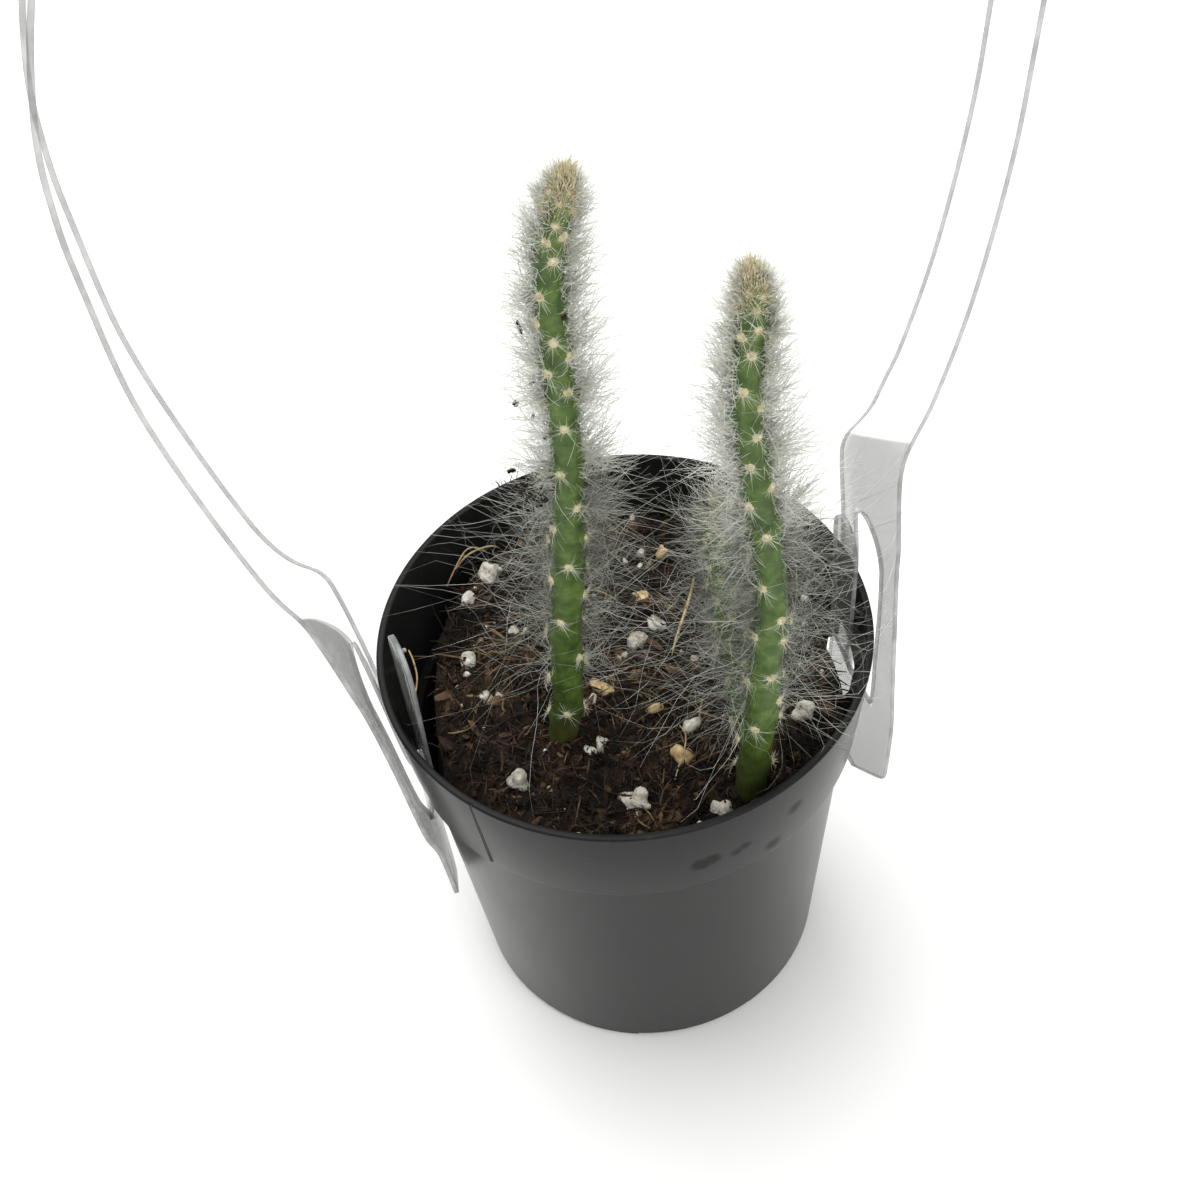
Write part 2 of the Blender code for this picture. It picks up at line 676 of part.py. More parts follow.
def build_stem(name, route, phase, seed, branch=None):
    rng = np.random.default_rng(seed)
    length = stem_frame(route, RING_SPACING)[-1][-1]
    places = areole_places(length, phase)
    green = finish_material(name + "_skin", "5f7d3c", 0.55)
    stem = add_object(name, stem_skin(name, route, STEM_SIDES, places, BURIED_LENGTH), green)
    pieces = stem_spines(name, route, places, rng)
    if branch is not None:
        branch_length = stem_frame(branch, RING_SPACING)[-1][-1]
        branch_places = areole_places(branch_length, phase + 40.0)
        mesh = stem_skin(name + "_branch", branch, BRANCH_SIDES, branch_places, 0.0)
        pieces.append(add_object(mesh.name, mesh, None))
        outer_places = [place for place in branch_places if place[0] > BRANCH_BARE_FOOT]
        pieces.extend(stem_spines(name + "_branch", branch, outer_places, rng))
    join_into(stem, pieces, "MANIFOLD")
    return stem


# Hanger

def tab_half_width(tip_distance):
    # Outline of a tab: a blunt point, straight sides and a soft shoulder up to the strap
    corner = TAB_POINT_LENGTH + TAB_CORNER_ROUND
    near, far = (TAB_HALF_WIDTH - cut for cut in TAB_CORNER_CUTS)
    half = np.interp(
        tip_distance,
        (0.0, TAB_POINT_LENGTH - TAB_CORNER_ROUND, TAB_POINT_LENGTH, corner),
        (TAB_POINT_WIDTH, near, far, TAB_HALF_WIDTH),
    )
    share = np.clip((tip_distance - SHOULDER_START) / (SHOULDER_END - SHOULDER_START), 0, 1)
    soft = share * share * (3 - 2 * share)
    return float(half * (1 - soft) + STRAP_HALF_WIDTH * soft)


def slot_half_width(tip_distance):
    # The slot widens upwards and has a round top
    straight = SLOT_END - SLOT_HIGH_HALF_WIDTH
    half = np.interp(tip_distance, (SLOT_START, straight), (SLOT_LOW_HALF_WIDTH, SLOT_HIGH_HALF_WIDTH))
    over = max(tip_distance - straight, 0.0)
    return math.sqrt(max(float(half) ** 2 - over ** 2, 0.0))


def tongue_half_width(share):
    # The tongue is the piece cut from the slot, so it widens upwards too and has a round end
    length = SLOT_END - SLOT_START
    high = SLOT_HIGH_HALF_WIDTH - SLIT_WIDTH
    half = np.interp(share * length, (0.0, length - high), (SLOT_LOW_HALF_WIDTH - SLIT_WIDTH, high))
    over = max(share * length - (length - high), 0.0)
    return math.sqrt(max(float(half) ** 2 - over ** 2, 0.0))


def hanger_rows(route_length):
    # Distances along the strip at which it has a row of points, measured from the left tab's point
    straight = SLOT_END - SLOT_HIGH_HALF_WIDTH
    point = TAB_POINT_LENGTH
    tab = [0.0, point * 0.35, point - TAB_CORNER_ROUND, point, point + TAB_CORNER_ROUND]
    tab += list(np.linspace(SLOT_START, straight, SLOT_ROWS))
    tab += [straight + SLOT_HIGH_HALF_WIDTH * math.sin(math.radians(a)) for a in ARCH_ANGLES_DEG]
    shoulder = [SLOT_END + ARCH_CLEARANCE + SHOULDER_STEP * i for i in range(SHOULDER_ROWS)]
    inner = (shoulder[-1] + STRAP_STEP * 0.7, route_length - shoulder[-1] - STRAP_STEP * 0.7)
    count = int(round((inner[1] - inner[0]) / STRAP_STEP))
    straps = list(np.linspace(inner[0], inner[1], count + 1))
    loop = shoulder + straps + [route_length - d for d in shoulder[::-1]]
    return tab, loop, [route_length - d for d in reversed(tab)]


def build_hanger():
    curve, distance = smooth_curve(HANGER_ROUTE, 0.0005)
    length = distance[-1]

    def sample(place):
        values = [np.interp(place, distance, curve[:, i]) for i in range(4)]
        turn = math.radians(values[3])
        return np.array(values[:3]), np.array([math.cos(turn), math.sin(turn), 0.0])

    work = bmesh.new()

    def row_of(place, offsets):
        middle, across = sample(place)
        return [work.verts.new(middle + across * w) for w in offsets]

    def bridge(low, high):
        for i in range(len(low) - 1):
            work.faces.new([low[i], low[i + 1], high[i + 1], high[i]])

    def tongue(root, place, route):
        middle, across = sample(place)
        start = (*middle, math.degrees(math.atan2(across[1], across[0])))
        path, along = smooth_curve((start,) + route, 0.0004)
        straight = 1.0 - (SLOT_HIGH_HALF_WIDTH - SLIT_WIDTH) / (SLOT_END - SLOT_START)
        shares = list(np.linspace(0.0, straight, SLOT_ROWS + 1))[1:]
        shares += [straight + (1 - straight) * math.sin(math.radians(a)) for a in TONGUE_END_ANGLES_DEG]
        below = root
        for share in shares:
            here = [float(np.interp(share * along[-1], along, path[:, i])) for i in range(4)]
            side = np.array([math.cos(math.radians(here[3])), math.sin(math.radians(here[3])), 0.0])
            half = tongue_half_width(share)
            row = [work.verts.new(np.array(here[:3]) + side * half * s) for s in (-1, 0, 1)]
            bridge(below, row)
            below = row

    def tab(rows, measure, route):
        # Returns the last row of the tab, three points wide, and builds all below it
        below = None
        legs = None
        low = SLOT_LOW_HALF_WIDTH / TAB_HALF_WIDTH
        root = (SLOT_LOW_HALF_WIDTH - SLIT_WIDTH) / TAB_HALF_WIDTH
        for place in rows:
            tip_distance = measure(place)
            half = tab_half_width(tip_distance)
            if tip_distance <= SLOT_START + 1e-7:
                row = row_of(place, [half * f for f in (-1.0, -low, -root, 0.0, root, low, 1.0)])
                if below is not None:
                    bridge(below, row)
                below = row
                if tip_distance >= SLOT_START - 1e-7:
                    legs = ([row[0], row[1]], [row[5], row[6]])
                    tongue(row[2:5], place, route)
                continue
            inner = slot_half_width(tip_distance)
            if inner > 1e-5:
                left = row_of(place, [-half, -inner])
                right = row_of(place, [inner, half])
                bridge(legs[0], left)
                bridge(legs[1], right)
                legs = (left, right)
            else:
                top = row_of(place, [-half, 0.0, half])
                bridge(legs[0], top[:2])
                bridge(legs[1], top[1:])
                return top
        return None

    first, loop, last = hanger_rows(length)
    below = tab(first, lambda place: place, LEFT_TONGUE)
    right_top = tab(last[::-1], lambda place: length - place, RIGHT_TONGUE)
    for place in loop:
        half = tab_half_width(min(place, length - place))
        row = row_of(place, [-half, 0.0, half])
        bridge(below, row)
        below = row
    bridge(below, right_top)
    bmesh.ops.recalc_face_normals(work, faces=work.faces)
    mesh = bpy.data.meshes.new("clear_hanger")
    work.to_mesh(mesh)
    work.free()
    mesh.shade_smooth()
    clear = finish_material("clear_sheet", "f2f5f6", 0.08, transmission=1.0, ior=1.46)
    hanger = add_object("clear_hanger", mesh, clear)
    thick = hanger.modifiers.new("sheet", "SOLIDIFY")
    thick.thickness = SHEET
    thick.offset = 0.0
    return hanger


def main():
    clear_scene()
    build_pot()
    build_soil()
    build_stem("stem_left", LEFT_ROUTE, 20.0, 3)
    build_stem("stem_right", RIGHT_ROUTE, 200.0, 7, branch=BRANCH_ROUTE)
    build_hanger()


main()
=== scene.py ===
# A young woolly cactus in a black nursery pot, with a clear hanging loop clipped to the pot.
# Everything is in metres; the pot stands on the floor at the origin.
import math

import bmesh
import bpy
import numpy as np
from mathutils import Matrix


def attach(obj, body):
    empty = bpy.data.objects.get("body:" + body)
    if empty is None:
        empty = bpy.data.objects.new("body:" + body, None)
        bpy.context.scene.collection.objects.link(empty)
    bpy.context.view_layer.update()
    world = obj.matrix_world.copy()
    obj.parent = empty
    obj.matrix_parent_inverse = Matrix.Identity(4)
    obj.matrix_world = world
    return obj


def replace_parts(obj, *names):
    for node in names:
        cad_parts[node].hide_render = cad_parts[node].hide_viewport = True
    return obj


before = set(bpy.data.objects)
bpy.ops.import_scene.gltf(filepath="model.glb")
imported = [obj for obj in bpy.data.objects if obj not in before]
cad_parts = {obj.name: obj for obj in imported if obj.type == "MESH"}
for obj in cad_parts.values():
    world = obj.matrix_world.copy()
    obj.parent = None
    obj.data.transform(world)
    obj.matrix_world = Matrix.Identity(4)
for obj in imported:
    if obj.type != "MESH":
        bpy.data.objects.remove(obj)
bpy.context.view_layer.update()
print("frame loaded")


# Tools

def hexColour(text):
    # sRGB to linear light: a straight line near black and a power curve above it
    share = np.array([int(text[i:i + 2], 16) for i in (0, 2, 4)]) / 255
    light = np.where(share <= 0.04045, share / 12.92, ((share + 0.055) / 1.055) ** 2.4)
    return (*[float(v) for v in light], 1.0)


def addNode(tree, kind, settings, links=None, feeds=None):
    # A setting is one of the node's own fields or sockets, and stops are a ramp's colours.
    # Where feeds names one of the shader's sockets, the node's live output goes there
    node = tree.nodes.new("ShaderNode" + kind)
    for key, value in settings.items():
        if key == "stops":
            ramp = node.color_ramp.elements
            while len(ramp) < len(value):
                ramp.new(0.5)
            for element, (place, colour) in zip(ramp, value):
                element.position = place
                element.color = hexColour(colour)
        elif isinstance(key, str) and hasattr(node, key):
            setattr(node, key, value)
        else:
            node.inputs[key].default_value = value
    for key, source in (links or {}).items():
        tree.links.new(source, node.inputs[key])
    if feeds:
        live = [output for output in node.outputs if output.enabled]
        tree.links.new(live[0], tree.nodes["Principled BSDF"].inputs[feeds])
    return node


def startMaterial(name, settings):
    # A material whose shader has these values on its own sockets
    material = bpy.data.materials.new(name)
    material.use_nodes = True
    tree = material.node_tree
    shader = tree.nodes["Principled BSDF"]
    for key, value in settings.items():
        shader.inputs[key].default_value = hexColour(value) if isinstance(value, str) else value
    return material, tree


def meshObject(name, points, faceSets, material, smooth=True, shade=None):
    # Whole arrays go straight into the mesh; each face set is an array with one row a face
    faceSets = [np.asarray(faces) for faces in faceSets if len(faces)]
    corners = np.concatenate([faces.ravel() for faces in faceSets]).astype(np.int32)
    sizes = np.concatenate([np.full(len(faces), faces.shape[1]) for faces in faceSets])
    mesh = bpy.data.meshes.new(name)
    mesh.vertices.add(len(points))
    mesh.vertices.foreach_set("co", np.asarray(points, np.float32).ravel())
    mesh.loops.add(len(corners))
    mesh.loops.foreach_set("vertex_index", corners)
    mesh.polygons.add(len(sizes))
    mesh.polygons.foreach_set("loop_start", (np.cumsum(sizes) - sizes).astype(np.int32))
    mesh.polygons.foreach_set("use_smooth", np.full(len(sizes), smooth))
    if shade is not None:
        values = np.asarray(shade, np.float32)
        mesh.attributes.new("shade", "FLOAT", "POINT").data.foreach_set("value", values)
    mesh.update(calc_edges=True)
    mesh.validate()
    mesh.materials.append(material)
    piece = bpy.data.objects.new(name, mesh)
    bpy.context.scene.collection.objects.link(piece)
    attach(piece, "root")
    return piece


def unit(vectors):
    # Each vector over its own length
    return vectors / np.maximum(np.linalg.norm(vectors, axis=-1, keepdims=True), 1e-12)


def fullTurn(sides):
    # Even angles once round
    return np.arange(sides) * 2 * math.pi / sides


def smoothCurve(rows, spacing):
    # Catmull-Rom curve through the rows, read again at even distances along its first three columns
    given = np.array(rows, float)
    ends = np.vstack([2 * given[0] - given[1], given, 2 * given[-1] - given[-2]])
    u = np.linspace(0, 1, 24, endpoint=False)[:, None]
    runs = []
    for a, b, c, d in zip(ends[:-3], ends[1:-2], ends[2:-1], ends[3:]):
        cubic = (3 * b - a - 3 * c + d) * u ** 3
        runs.append(0.5 * (2 * b + (c - a) * u + (2 * a - 5 * b + 4 * c - d) * u ** 2 + cubic))
    dense = np.vstack(runs + [given[-1:]])
    steps = np.linalg.norm(np.diff(dense[:, :3], axis=0), axis=1)
    distance = np.concatenate([[0.0], np.cumsum(steps)])
    even = np.linspace(0, distance[-1], max(3, int(round(distance[-1] / spacing)) + 1))
    return readCurve(even, distance, dense), even


def readCurve(places, distance, rows):
    # Every column of a curve's rows, read in straight steps at the given distances
    return np.column_stack([np.interp(places, distance, column) for column in rows.T])


def valueNoise(x, y, size, seed):
    # Random heights on a square net of the given size, blended smoothly between its corners
    table = np.random.default_rng(seed).random((97, 97))
    gx = np.asarray(x) / size + 40.3
    gy = np.asarray(y) / size + 40.7
    ix = np.floor(gx).astype(int) % 96
    iy = np.floor(gy).astype(int) % 96
    fx = gx - np.floor(gx)
    fy = gy - np.floor(gy)
    fx = fx * fx * (3 - 2 * fx)
    fy = fy * fy * (3 - 2 * fy)
    low = table[ix, iy] * (1 - fx) + table[ix + 1, iy] * fx
    high = table[ix, iy + 1] * (1 - fx) + table[ix + 1, iy + 1] * fx
    return low * (1 - fy) + high * fy


def ringFaces(rings, sides, first=0):
    # Quads between neighbouring rings of a tube, wound so that they face outwards
    i, j = np.meshgrid(np.arange(rings - 1), np.arange(sides), indexing="ij")
    k = (j + 1) % sides
    quads = np.stack([i * sides + j, i * sides + k, (i + 1) * sides + k, (i + 1) * sides + j], -1)
    return first + quads.reshape(-1, 4)


def closedTube(rings, sides):
    # Quads between the rings, and a fan at each end to the two points that follow the rings
    j = np.arange(sides)
    k = (j + 1) % sides
    last = (rings - 1) * sides
    foot = np.column_stack([np.full(sides, rings * sides), k, j])
    head = np.column_stack([last + j, last + k, np.full(sides, rings * sides + 1)])
    return [ringFaces(rings, sides), foot, head]


def manyTubes(count, steps, sides):
    # Walls of many tubes that follow each other in one array, then the lids at their roots and at their tips
    size = steps * sides
    shift = (np.arange(count) * size)[:, None, None]
    walls = (ringFaces(steps, sides)[None] + shift).reshape(-1, 4)
    roots = (np.arange(sides)[::-1][None, None] + shift).reshape(-1, sides)
    tips = (np.arange(sides)[None, None] + size - sides + shift).reshape(-1, sides)
    return [walls, roots, tips]


def strands(centres, radii, sides):
    # Many thin round threads at once: a ring round each centre, set square to the thread's own line
    along = unit(np.gradient(centres, axis=1))
    helper = np.where(np.abs(along[:, :1, 2:3]) < 0.8, np.array([0, 0, 1.0]), np.array([1.0, 0, 0]))
    first = unit(np.cross(along, helper))
    second = np.cross(along, first)
    angle = fullTurn(sides)
    ring = np.cos(angle)[:, None] * first[:, :, None, :] + np.sin(angle)[:, None] * second[:, :, None, :]
    points = (centres[:, :, None, :] + radii[:, :, None, None] * ring).reshape(-1, 3)
    return points, manyTubes(*radii.shape, sides)


def bentThreads(roots, lines, lengths, bends, steps):
    # A thread leaves its root along its line and bends away with the square of the distance
    share = np.linspace(0, 1, steps)[None, :, None]
    reach = lengths[:, None, None]
    return roots[:, None, :] + reach * (lines[:, None, :] * share + bends[:, None, :] * share ** 2)


def ballTemplate(level):
    # A ball of radius 1 from an icosahedron split this many times
    work = bmesh.new()
    bmesh.ops.create_icosphere(work, subdivisions=level, radius=1.0)
    work.verts.ensure_lookup_table()
    points = np.array([v.co[:] for v in work.verts])
    faces = np.array([[v.index for v in f.verts] for f in work.faces])
    work.free()
    return points, faces


def lumps(centres, radii, level, roughness, seed):
    # Rough grains: a ball stretched on three axes, dented by five waves over it, and turned at random
    rng = np.random.default_rng(seed)
    ball, faces = ballTemplate(level)
    count = len(centres)
    waves = rng.normal(0, 2.6, (count, 5, 3))
    phase = rng.uniform(0, 6.28, (count, 5, 1))
    size = rng.uniform(0.4, 1.0, (count, 5, 1)) * roughness
    dent = 1 + (np.sin(waves @ ball.T + phase) * size).sum(1) / 2
    shapes = ball[None] * dent[:, :, None] * radii[:, None, :]
    turn = unit(rng.normal(size=(count, 3)))
    other = unit(np.cross(turn, unit(rng.normal(size=(count, 3)))))
    basis = np.stack([turn, other, np.cross(turn, other)], 1)
    points = shapes @ basis + centres[:, None, :]
    shift = (np.arange(count) * len(ball))[:, None, None]
    return points.reshape(-1, 3), (faces[None] + shift).reshape(-1, 3)


# Pot

pot = {
    "height": 0.0633,
    "bandFoot": 0.0482,
    "innerHeights": (0.0020, 0.0478, 0.0486, 0.0633),
    "innerRadii": (0.0237, 0.0284, 0.0293, 0.0310),
    # From the middle of the floor's underside to the middle of its top: radius, height, corner rounding
    "outline": (
        (0.0000, 0.0008, 0.0), (0.0249, 0.0008, 0.0004), (0.0290, 0.0482, 0.0002), (0.0303, 0.0482, 0.0004),
        (0.0320, 0.0633, 0.0004), (0.0310, 0.0633, 0.0003), (0.0293, 0.0486, 0.0002), (0.0284, 0.0478, 0.0002),
        (0.0237, 0.0020, 0.0004), (0.0000, 0.0020, 0.0),
    ),
    "sides": 256,
    "slit": 230.5,  # a cut in the band, where the clip has pulled it out a little
    "slitPull": 0.0002,
    "slitDepth": 0.00009,
    "slitTurns": (-0.8, -0.35, -0.22, 0.0, 0.22, 0.35, 0.8),  # extra columns beside the cut
    "sharpAngle": 38.0,
    "feet": (237.0, 327.0, 57.0, 147.0),
    "footSpan": 49.0,
    "footRadii": (0.0215, 0.0245),
    "footHeight": 0.0014,
    "footZone": (0.0015, 0.02),  # the feet are below this height and beyond this radius
    "drains": (282.0, 12.0, 102.0, 192.0),
    "drainRadius": 0.0019,
    "drainCircle": 0.0180,
    "windows": ((199.0, 0.0428, 0.0515), (5.2, 0.0458, 0.0536)),
    "windowHalf": 0.0050,
    "windowRadii": (0.0265, 0.0330),
    # Damp smudges on the band: place and half size
    "smudges": (
        (0.0067, -0.0302, 0.0539, 0.0013), (0.0079, -0.0300, 0.0542, 0.0012), (0.0111, -0.0289, 0.0538, 0.0007),
        (0.0122, -0.0284, 0.0543, 0.0007), (0.0159, -0.0261, 0.0505, 0.0011), (0.0188, -0.0249, 0.0563, 0.0011),
    ),
}


def wallRadius(height):
    # The pot's inner radius, in straight steps between its corners
    return np.interp(height, pot["innerHeights"], pot["innerRadii"])


def roundedOutline(corners):
    # Each corner is replaced by a short curve that leaves it at its rounding distance on both sides
    points = []
    for number, (radius, height, rounding) in enumerate(corners):
        here = np.array([radius, height])
        if rounding == 0:
            points.append(here)
            continue
        before = np.array(corners[number - 1][:2])
        after = np.array(corners[number + 1][:2])
        start = here + unit(before - here) * rounding
        end = here + unit(after - here) * rounding
        for u in np.linspace(0, 1, 5):
            points.append((1 - u) ** 2 * start + 2 * u * (1 - u) * here + u ** 2 * end)
    return np.array(points)


def potWall():
    # The outline turned about the upright axis, with a narrow cut in the band and its lip pulled out there
    outline = roundedOutline(pot["outline"])[1:-1]
    fine = pot["slit"] + np.array(pot["slitTurns"])
    angle = np.sort(np.concatenate([np.arange(pot["sides"]) * 360 / pot["sides"] + 0.1, fine]))
    radius = outline[:, :1] + np.zeros(len(angle))
    height = outline[:, 1:2] + np.zeros(len(angle))
    past = pot["slit"] - angle
    low = np.clip((pot["height"] - height) / (pot["height"] - pot["bandFoot"]), 0, 1)
    low = low * (height > pot["bandFoot"] - 1e-5)
    outer = np.arange(len(outline))[:, None] < np.argmax(outline[:, 1]) + 1
    band = low * (outline[:, :1] > wallRadius(outline[:, 1:2]) + 0.0004)
    radius = radius + pot["slitPull"] * band * (past >= 0) * np.exp(-(past / 14) ** 2)
    radius = radius - pot["slitDepth"] * outer * (band > 0) * (np.abs(past) < 0.25)
    points = np.stack([radius * np.cos(np.radians(angle)), radius * np.sin(np.radians(angle)), height], -1)
    under, over = pot["outline"][0][1], pot["outline"][-1][1]
    points = np.vstack([points.reshape(-1, 3), [0, 0, under], [0, 0, over]])
    return points, closedTube(len(outline), len(angle))


def blocks(corners):
    # Closed six-sided blocks from four lower and four upper corners each
    first = (np.arange(len(corners)) * 8)[:, None, None]
    sides = np.array([(3, 2, 1, 0), (4, 5, 6, 7), (0, 1, 5, 4), (1, 2, 6, 5), (2, 3, 7, 6), (3, 0, 4, 7)])
    return np.asarray(corners).reshape(-1, 3), (sides[None] + first).reshape(-1, 4)


def around(direction, radius, side, height):
    # A point out from the axis in a direction, moved sideways
    turn = math.radians(direction)
    x = radius * math.cos(turn) - side * math.sin(turn)
    y = radius * math.sin(turn) + side * math.cos(turn)
    return x, y, height


def plainMesh(name, points, faceSets):
    # A bare object that is only used to cut or to be cut
    mesh = bpy.data.meshes.new(name)
    mesh.from_pydata(np.asarray(points).tolist(), [], [face for faces in faceSets for face in faces.tolist()])
    shape = bpy.data.objects.new(name, mesh)
    bpy.context.scene.collection.objects.link(shape)
    return shape


def finePot(material):
    # The turned wall, less a box for each window and a cylinder for each drain, on feet of short blocks
    half = pot["windowHalf"]
    inner, outer = pot["windowRadii"]
    boxes = []
    for direction, low, high in pot["windows"]:
        ring = ((inner, -half), (outer, -half), (outer, half), (inner, half))
        boxes.append([around(direction, r, side, z) for z in (low, high) for r, side in ring])
    boxPoints, boxFaces = blocks(boxes)
    sides = 24
    turns = fullTurn(sides)
    drainPoints = []
    for direction in pot["drains"]:
        x, y = around(direction, pot["drainCircle"], 0, 0)[:2]
        for z in (-0.001, 0.004):
            circle = np.column_stack([np.cos(turns), np.sin(turns)]) * pot["drainRadius"]
            drainPoints.append(np.column_stack([circle + (x, y), np.full(sides, z)]))
    walls, roots, tips = [part + len(boxPoints) for part in manyTubes(len(pot["drains"]), 2, sides)]
    cutter = plainMesh("cutter", np.vstack([boxPoints] + drainPoints), [boxFaces, walls, tips, roots])
    wall = plainMesh("wall", *potWall())
    cut = wall.modifiers.new("cut", "BOOLEAN")
    cut.operation = "DIFFERENCE"
    cut.solver = "EXACT"
    cut.object = cutter
    graph = bpy.context.evaluated_depsgraph_get()
    mesh = bpy.data.meshes.new_from_object(wall.evaluated_get(graph))
    bpy.data.objects.remove(wall, do_unlink=True)
    bpy.data.objects.remove(cutter, do_unlink=True)
    feet = []
    inner, outer = pot["footRadii"]
    for centre in pot["feet"]:
        ends = centre + pot["footSpan"] * (np.arange(17) / 16 - 0.5)
        for a, b in zip(ends[:-1], ends[1:]):
            ring = ((inner, a), (outer, a), (outer, b), (inner, b))
            feet.append([around(turn, r, 0, z) for z in (0.0, pot["footHeight"]) for r, turn in ring])
    footPoints, footFaces = blocks(feet)
    work = bmesh.new()
    work.from_mesh(mesh)
    corners = [work.verts.new(point) for point in footPoints.tolist()]
    for face in footFaces.tolist():
        work.faces.new([corners[i] for i in face])
    bmesh.ops.remove_doubles(work, verts=corners, dist=1e-6)
    # Faces between neighbouring blocks of one foot lie on each other and are taken out
    below, beyond = pot["footZone"]
    seen = {}
    for face in work.faces:
        if all(point.co.z < below and math.hypot(point.co.x, point.co.y) > beyond for point in face.verts):
            middle = tuple(round(value, 6) for value in face.calc_center_median())
            seen.setdefault(middle, []).append(face)
    doubled = [face for faces in seen.values() if len(faces) > 1 for face in faces]
    bmesh.ops.delete(work, geom=doubled, context="FACES_ONLY")
    work.to_mesh(mesh)
    work.free()
    mesh.shade_smooth()
    mesh.set_sharp_from_angle(angle=math.radians(pot["sharpAngle"]))
    mesh.materials.clear()
    mesh.materials.append(material)
    piece = bpy.data.objects.new("nurseryPot", mesh)
    bpy.context.scene.collection.objects.link(piece)
    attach(piece, "root")
    return piece


def blackPolypropylene():
    # Injection-moulded polypropylene, black: faint flow marks, a little dust and some damp smudges.
    # Its soft sheen is set as a thin coat, so that it can fade at the smudges
    material, tree = startMaterial(
        "blackPolypropylene",
        {"IOR": 1.49, "Specular IOR Level": 0.03, "Coat IOR": 1.18, "Coat Roughness": 0.35},
    )
    place = addNode(tree, "TexCoord", {}).outputs["Object"]
    flow = addNode(tree, "Mapping", {"Scale": (1.0, 1.0, 0.4)}, {"Vector": place}).outputs[0]
    marks = addNode(tree, "TexNoise", {"Scale": 110.0, "Detail": 5.0, "Roughness": 0.6}, {"Vector": flow})
    dust = addNode(tree, "TexNoise", {"Scale": 900.0, "Detail": 3.0}, {"Vector": place})
    dustRamp = addNode(
        tree, "ValToRGB", {"stops": [(0.62, "000000"), (0.80, "50504c")]}, {"Fac": dust.outputs["Fac"]}
    )
    base = addNode(
        tree, "ValToRGB", {"stops": [(0.3, "141515"), (0.7, "1e1f1e")]}, {"Fac": marks.outputs["Fac"]}
    )
    mixed = addNode(
        tree, "Mix", {"data_type": "RGBA", "blend_type": "SCREEN", 0: 0.12},
        {6: base.outputs["Color"], 7: dustRamp.outputs["Color"]},
    )
    wet = None
    ripple = addNode(tree, "TexNoise", {"Scale": 1200.0, "Detail": 2.0}, {"Vector": place})
    edge = addNode(tree, "Math", {"operation": "MULTIPLY", 1: 0.0008}, {0: ripple.outputs["Fac"]})
    for x, y, z, size in pot["smudges"]:
        far = addNode(tree, "VectorMath", {"operation": "DISTANCE", 1: (x, y, z)}, {0: place})
        reach = addNode(tree, "Math", {"operation": "ADD"}, {0: far.outputs["Value"], 1: edge.outputs[0]})
        spot = addNode(
            tree, "MapRange", {"From Min": size, "From Max": size + 0.0009, "To Min": 1.0, "To Max": 0.0},
            {"Value": reach.outputs[0]},
        )
        if wet is not None:
            spot = addNode(tree, "Math", {"operation": "MAXIMUM"}, {0: wet.outputs[0], 1: spot.outputs[0]})
        wet = spot
    addNode(
        tree, "Mix", {"data_type": "RGBA", 7: hexColour("020202")}, {0: wet.outputs[0], 6: mixed.outputs[2]},
        "Base Color",
    )
    addNode(tree, "MapRange", {"To Min": 0.28, "To Max": 0.42}, {"Value": marks.outputs["Fac"]}, "Roughness")
    addNode(tree, "MapRange", {"To Min": 0.88, "To Max": 0.40}, {"Value": wet.outputs[0]}, "Coat Weight")
    # Moulding texture about 0.4 mm across
    peel = addNode(tree, "TexNoise", {"Scale": 2400.0, "Detail": 2.0}, {"Vector": place})
    addNode(tree, "Bump", {"Strength": 0.10, "Distance": 0.00004}, {"Height": peel.outputs["Fac"]}, "Normal")
    return material


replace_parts(finePot(blackPolypropylene()), "nursery_pot")
print("pot finished")


# Soil

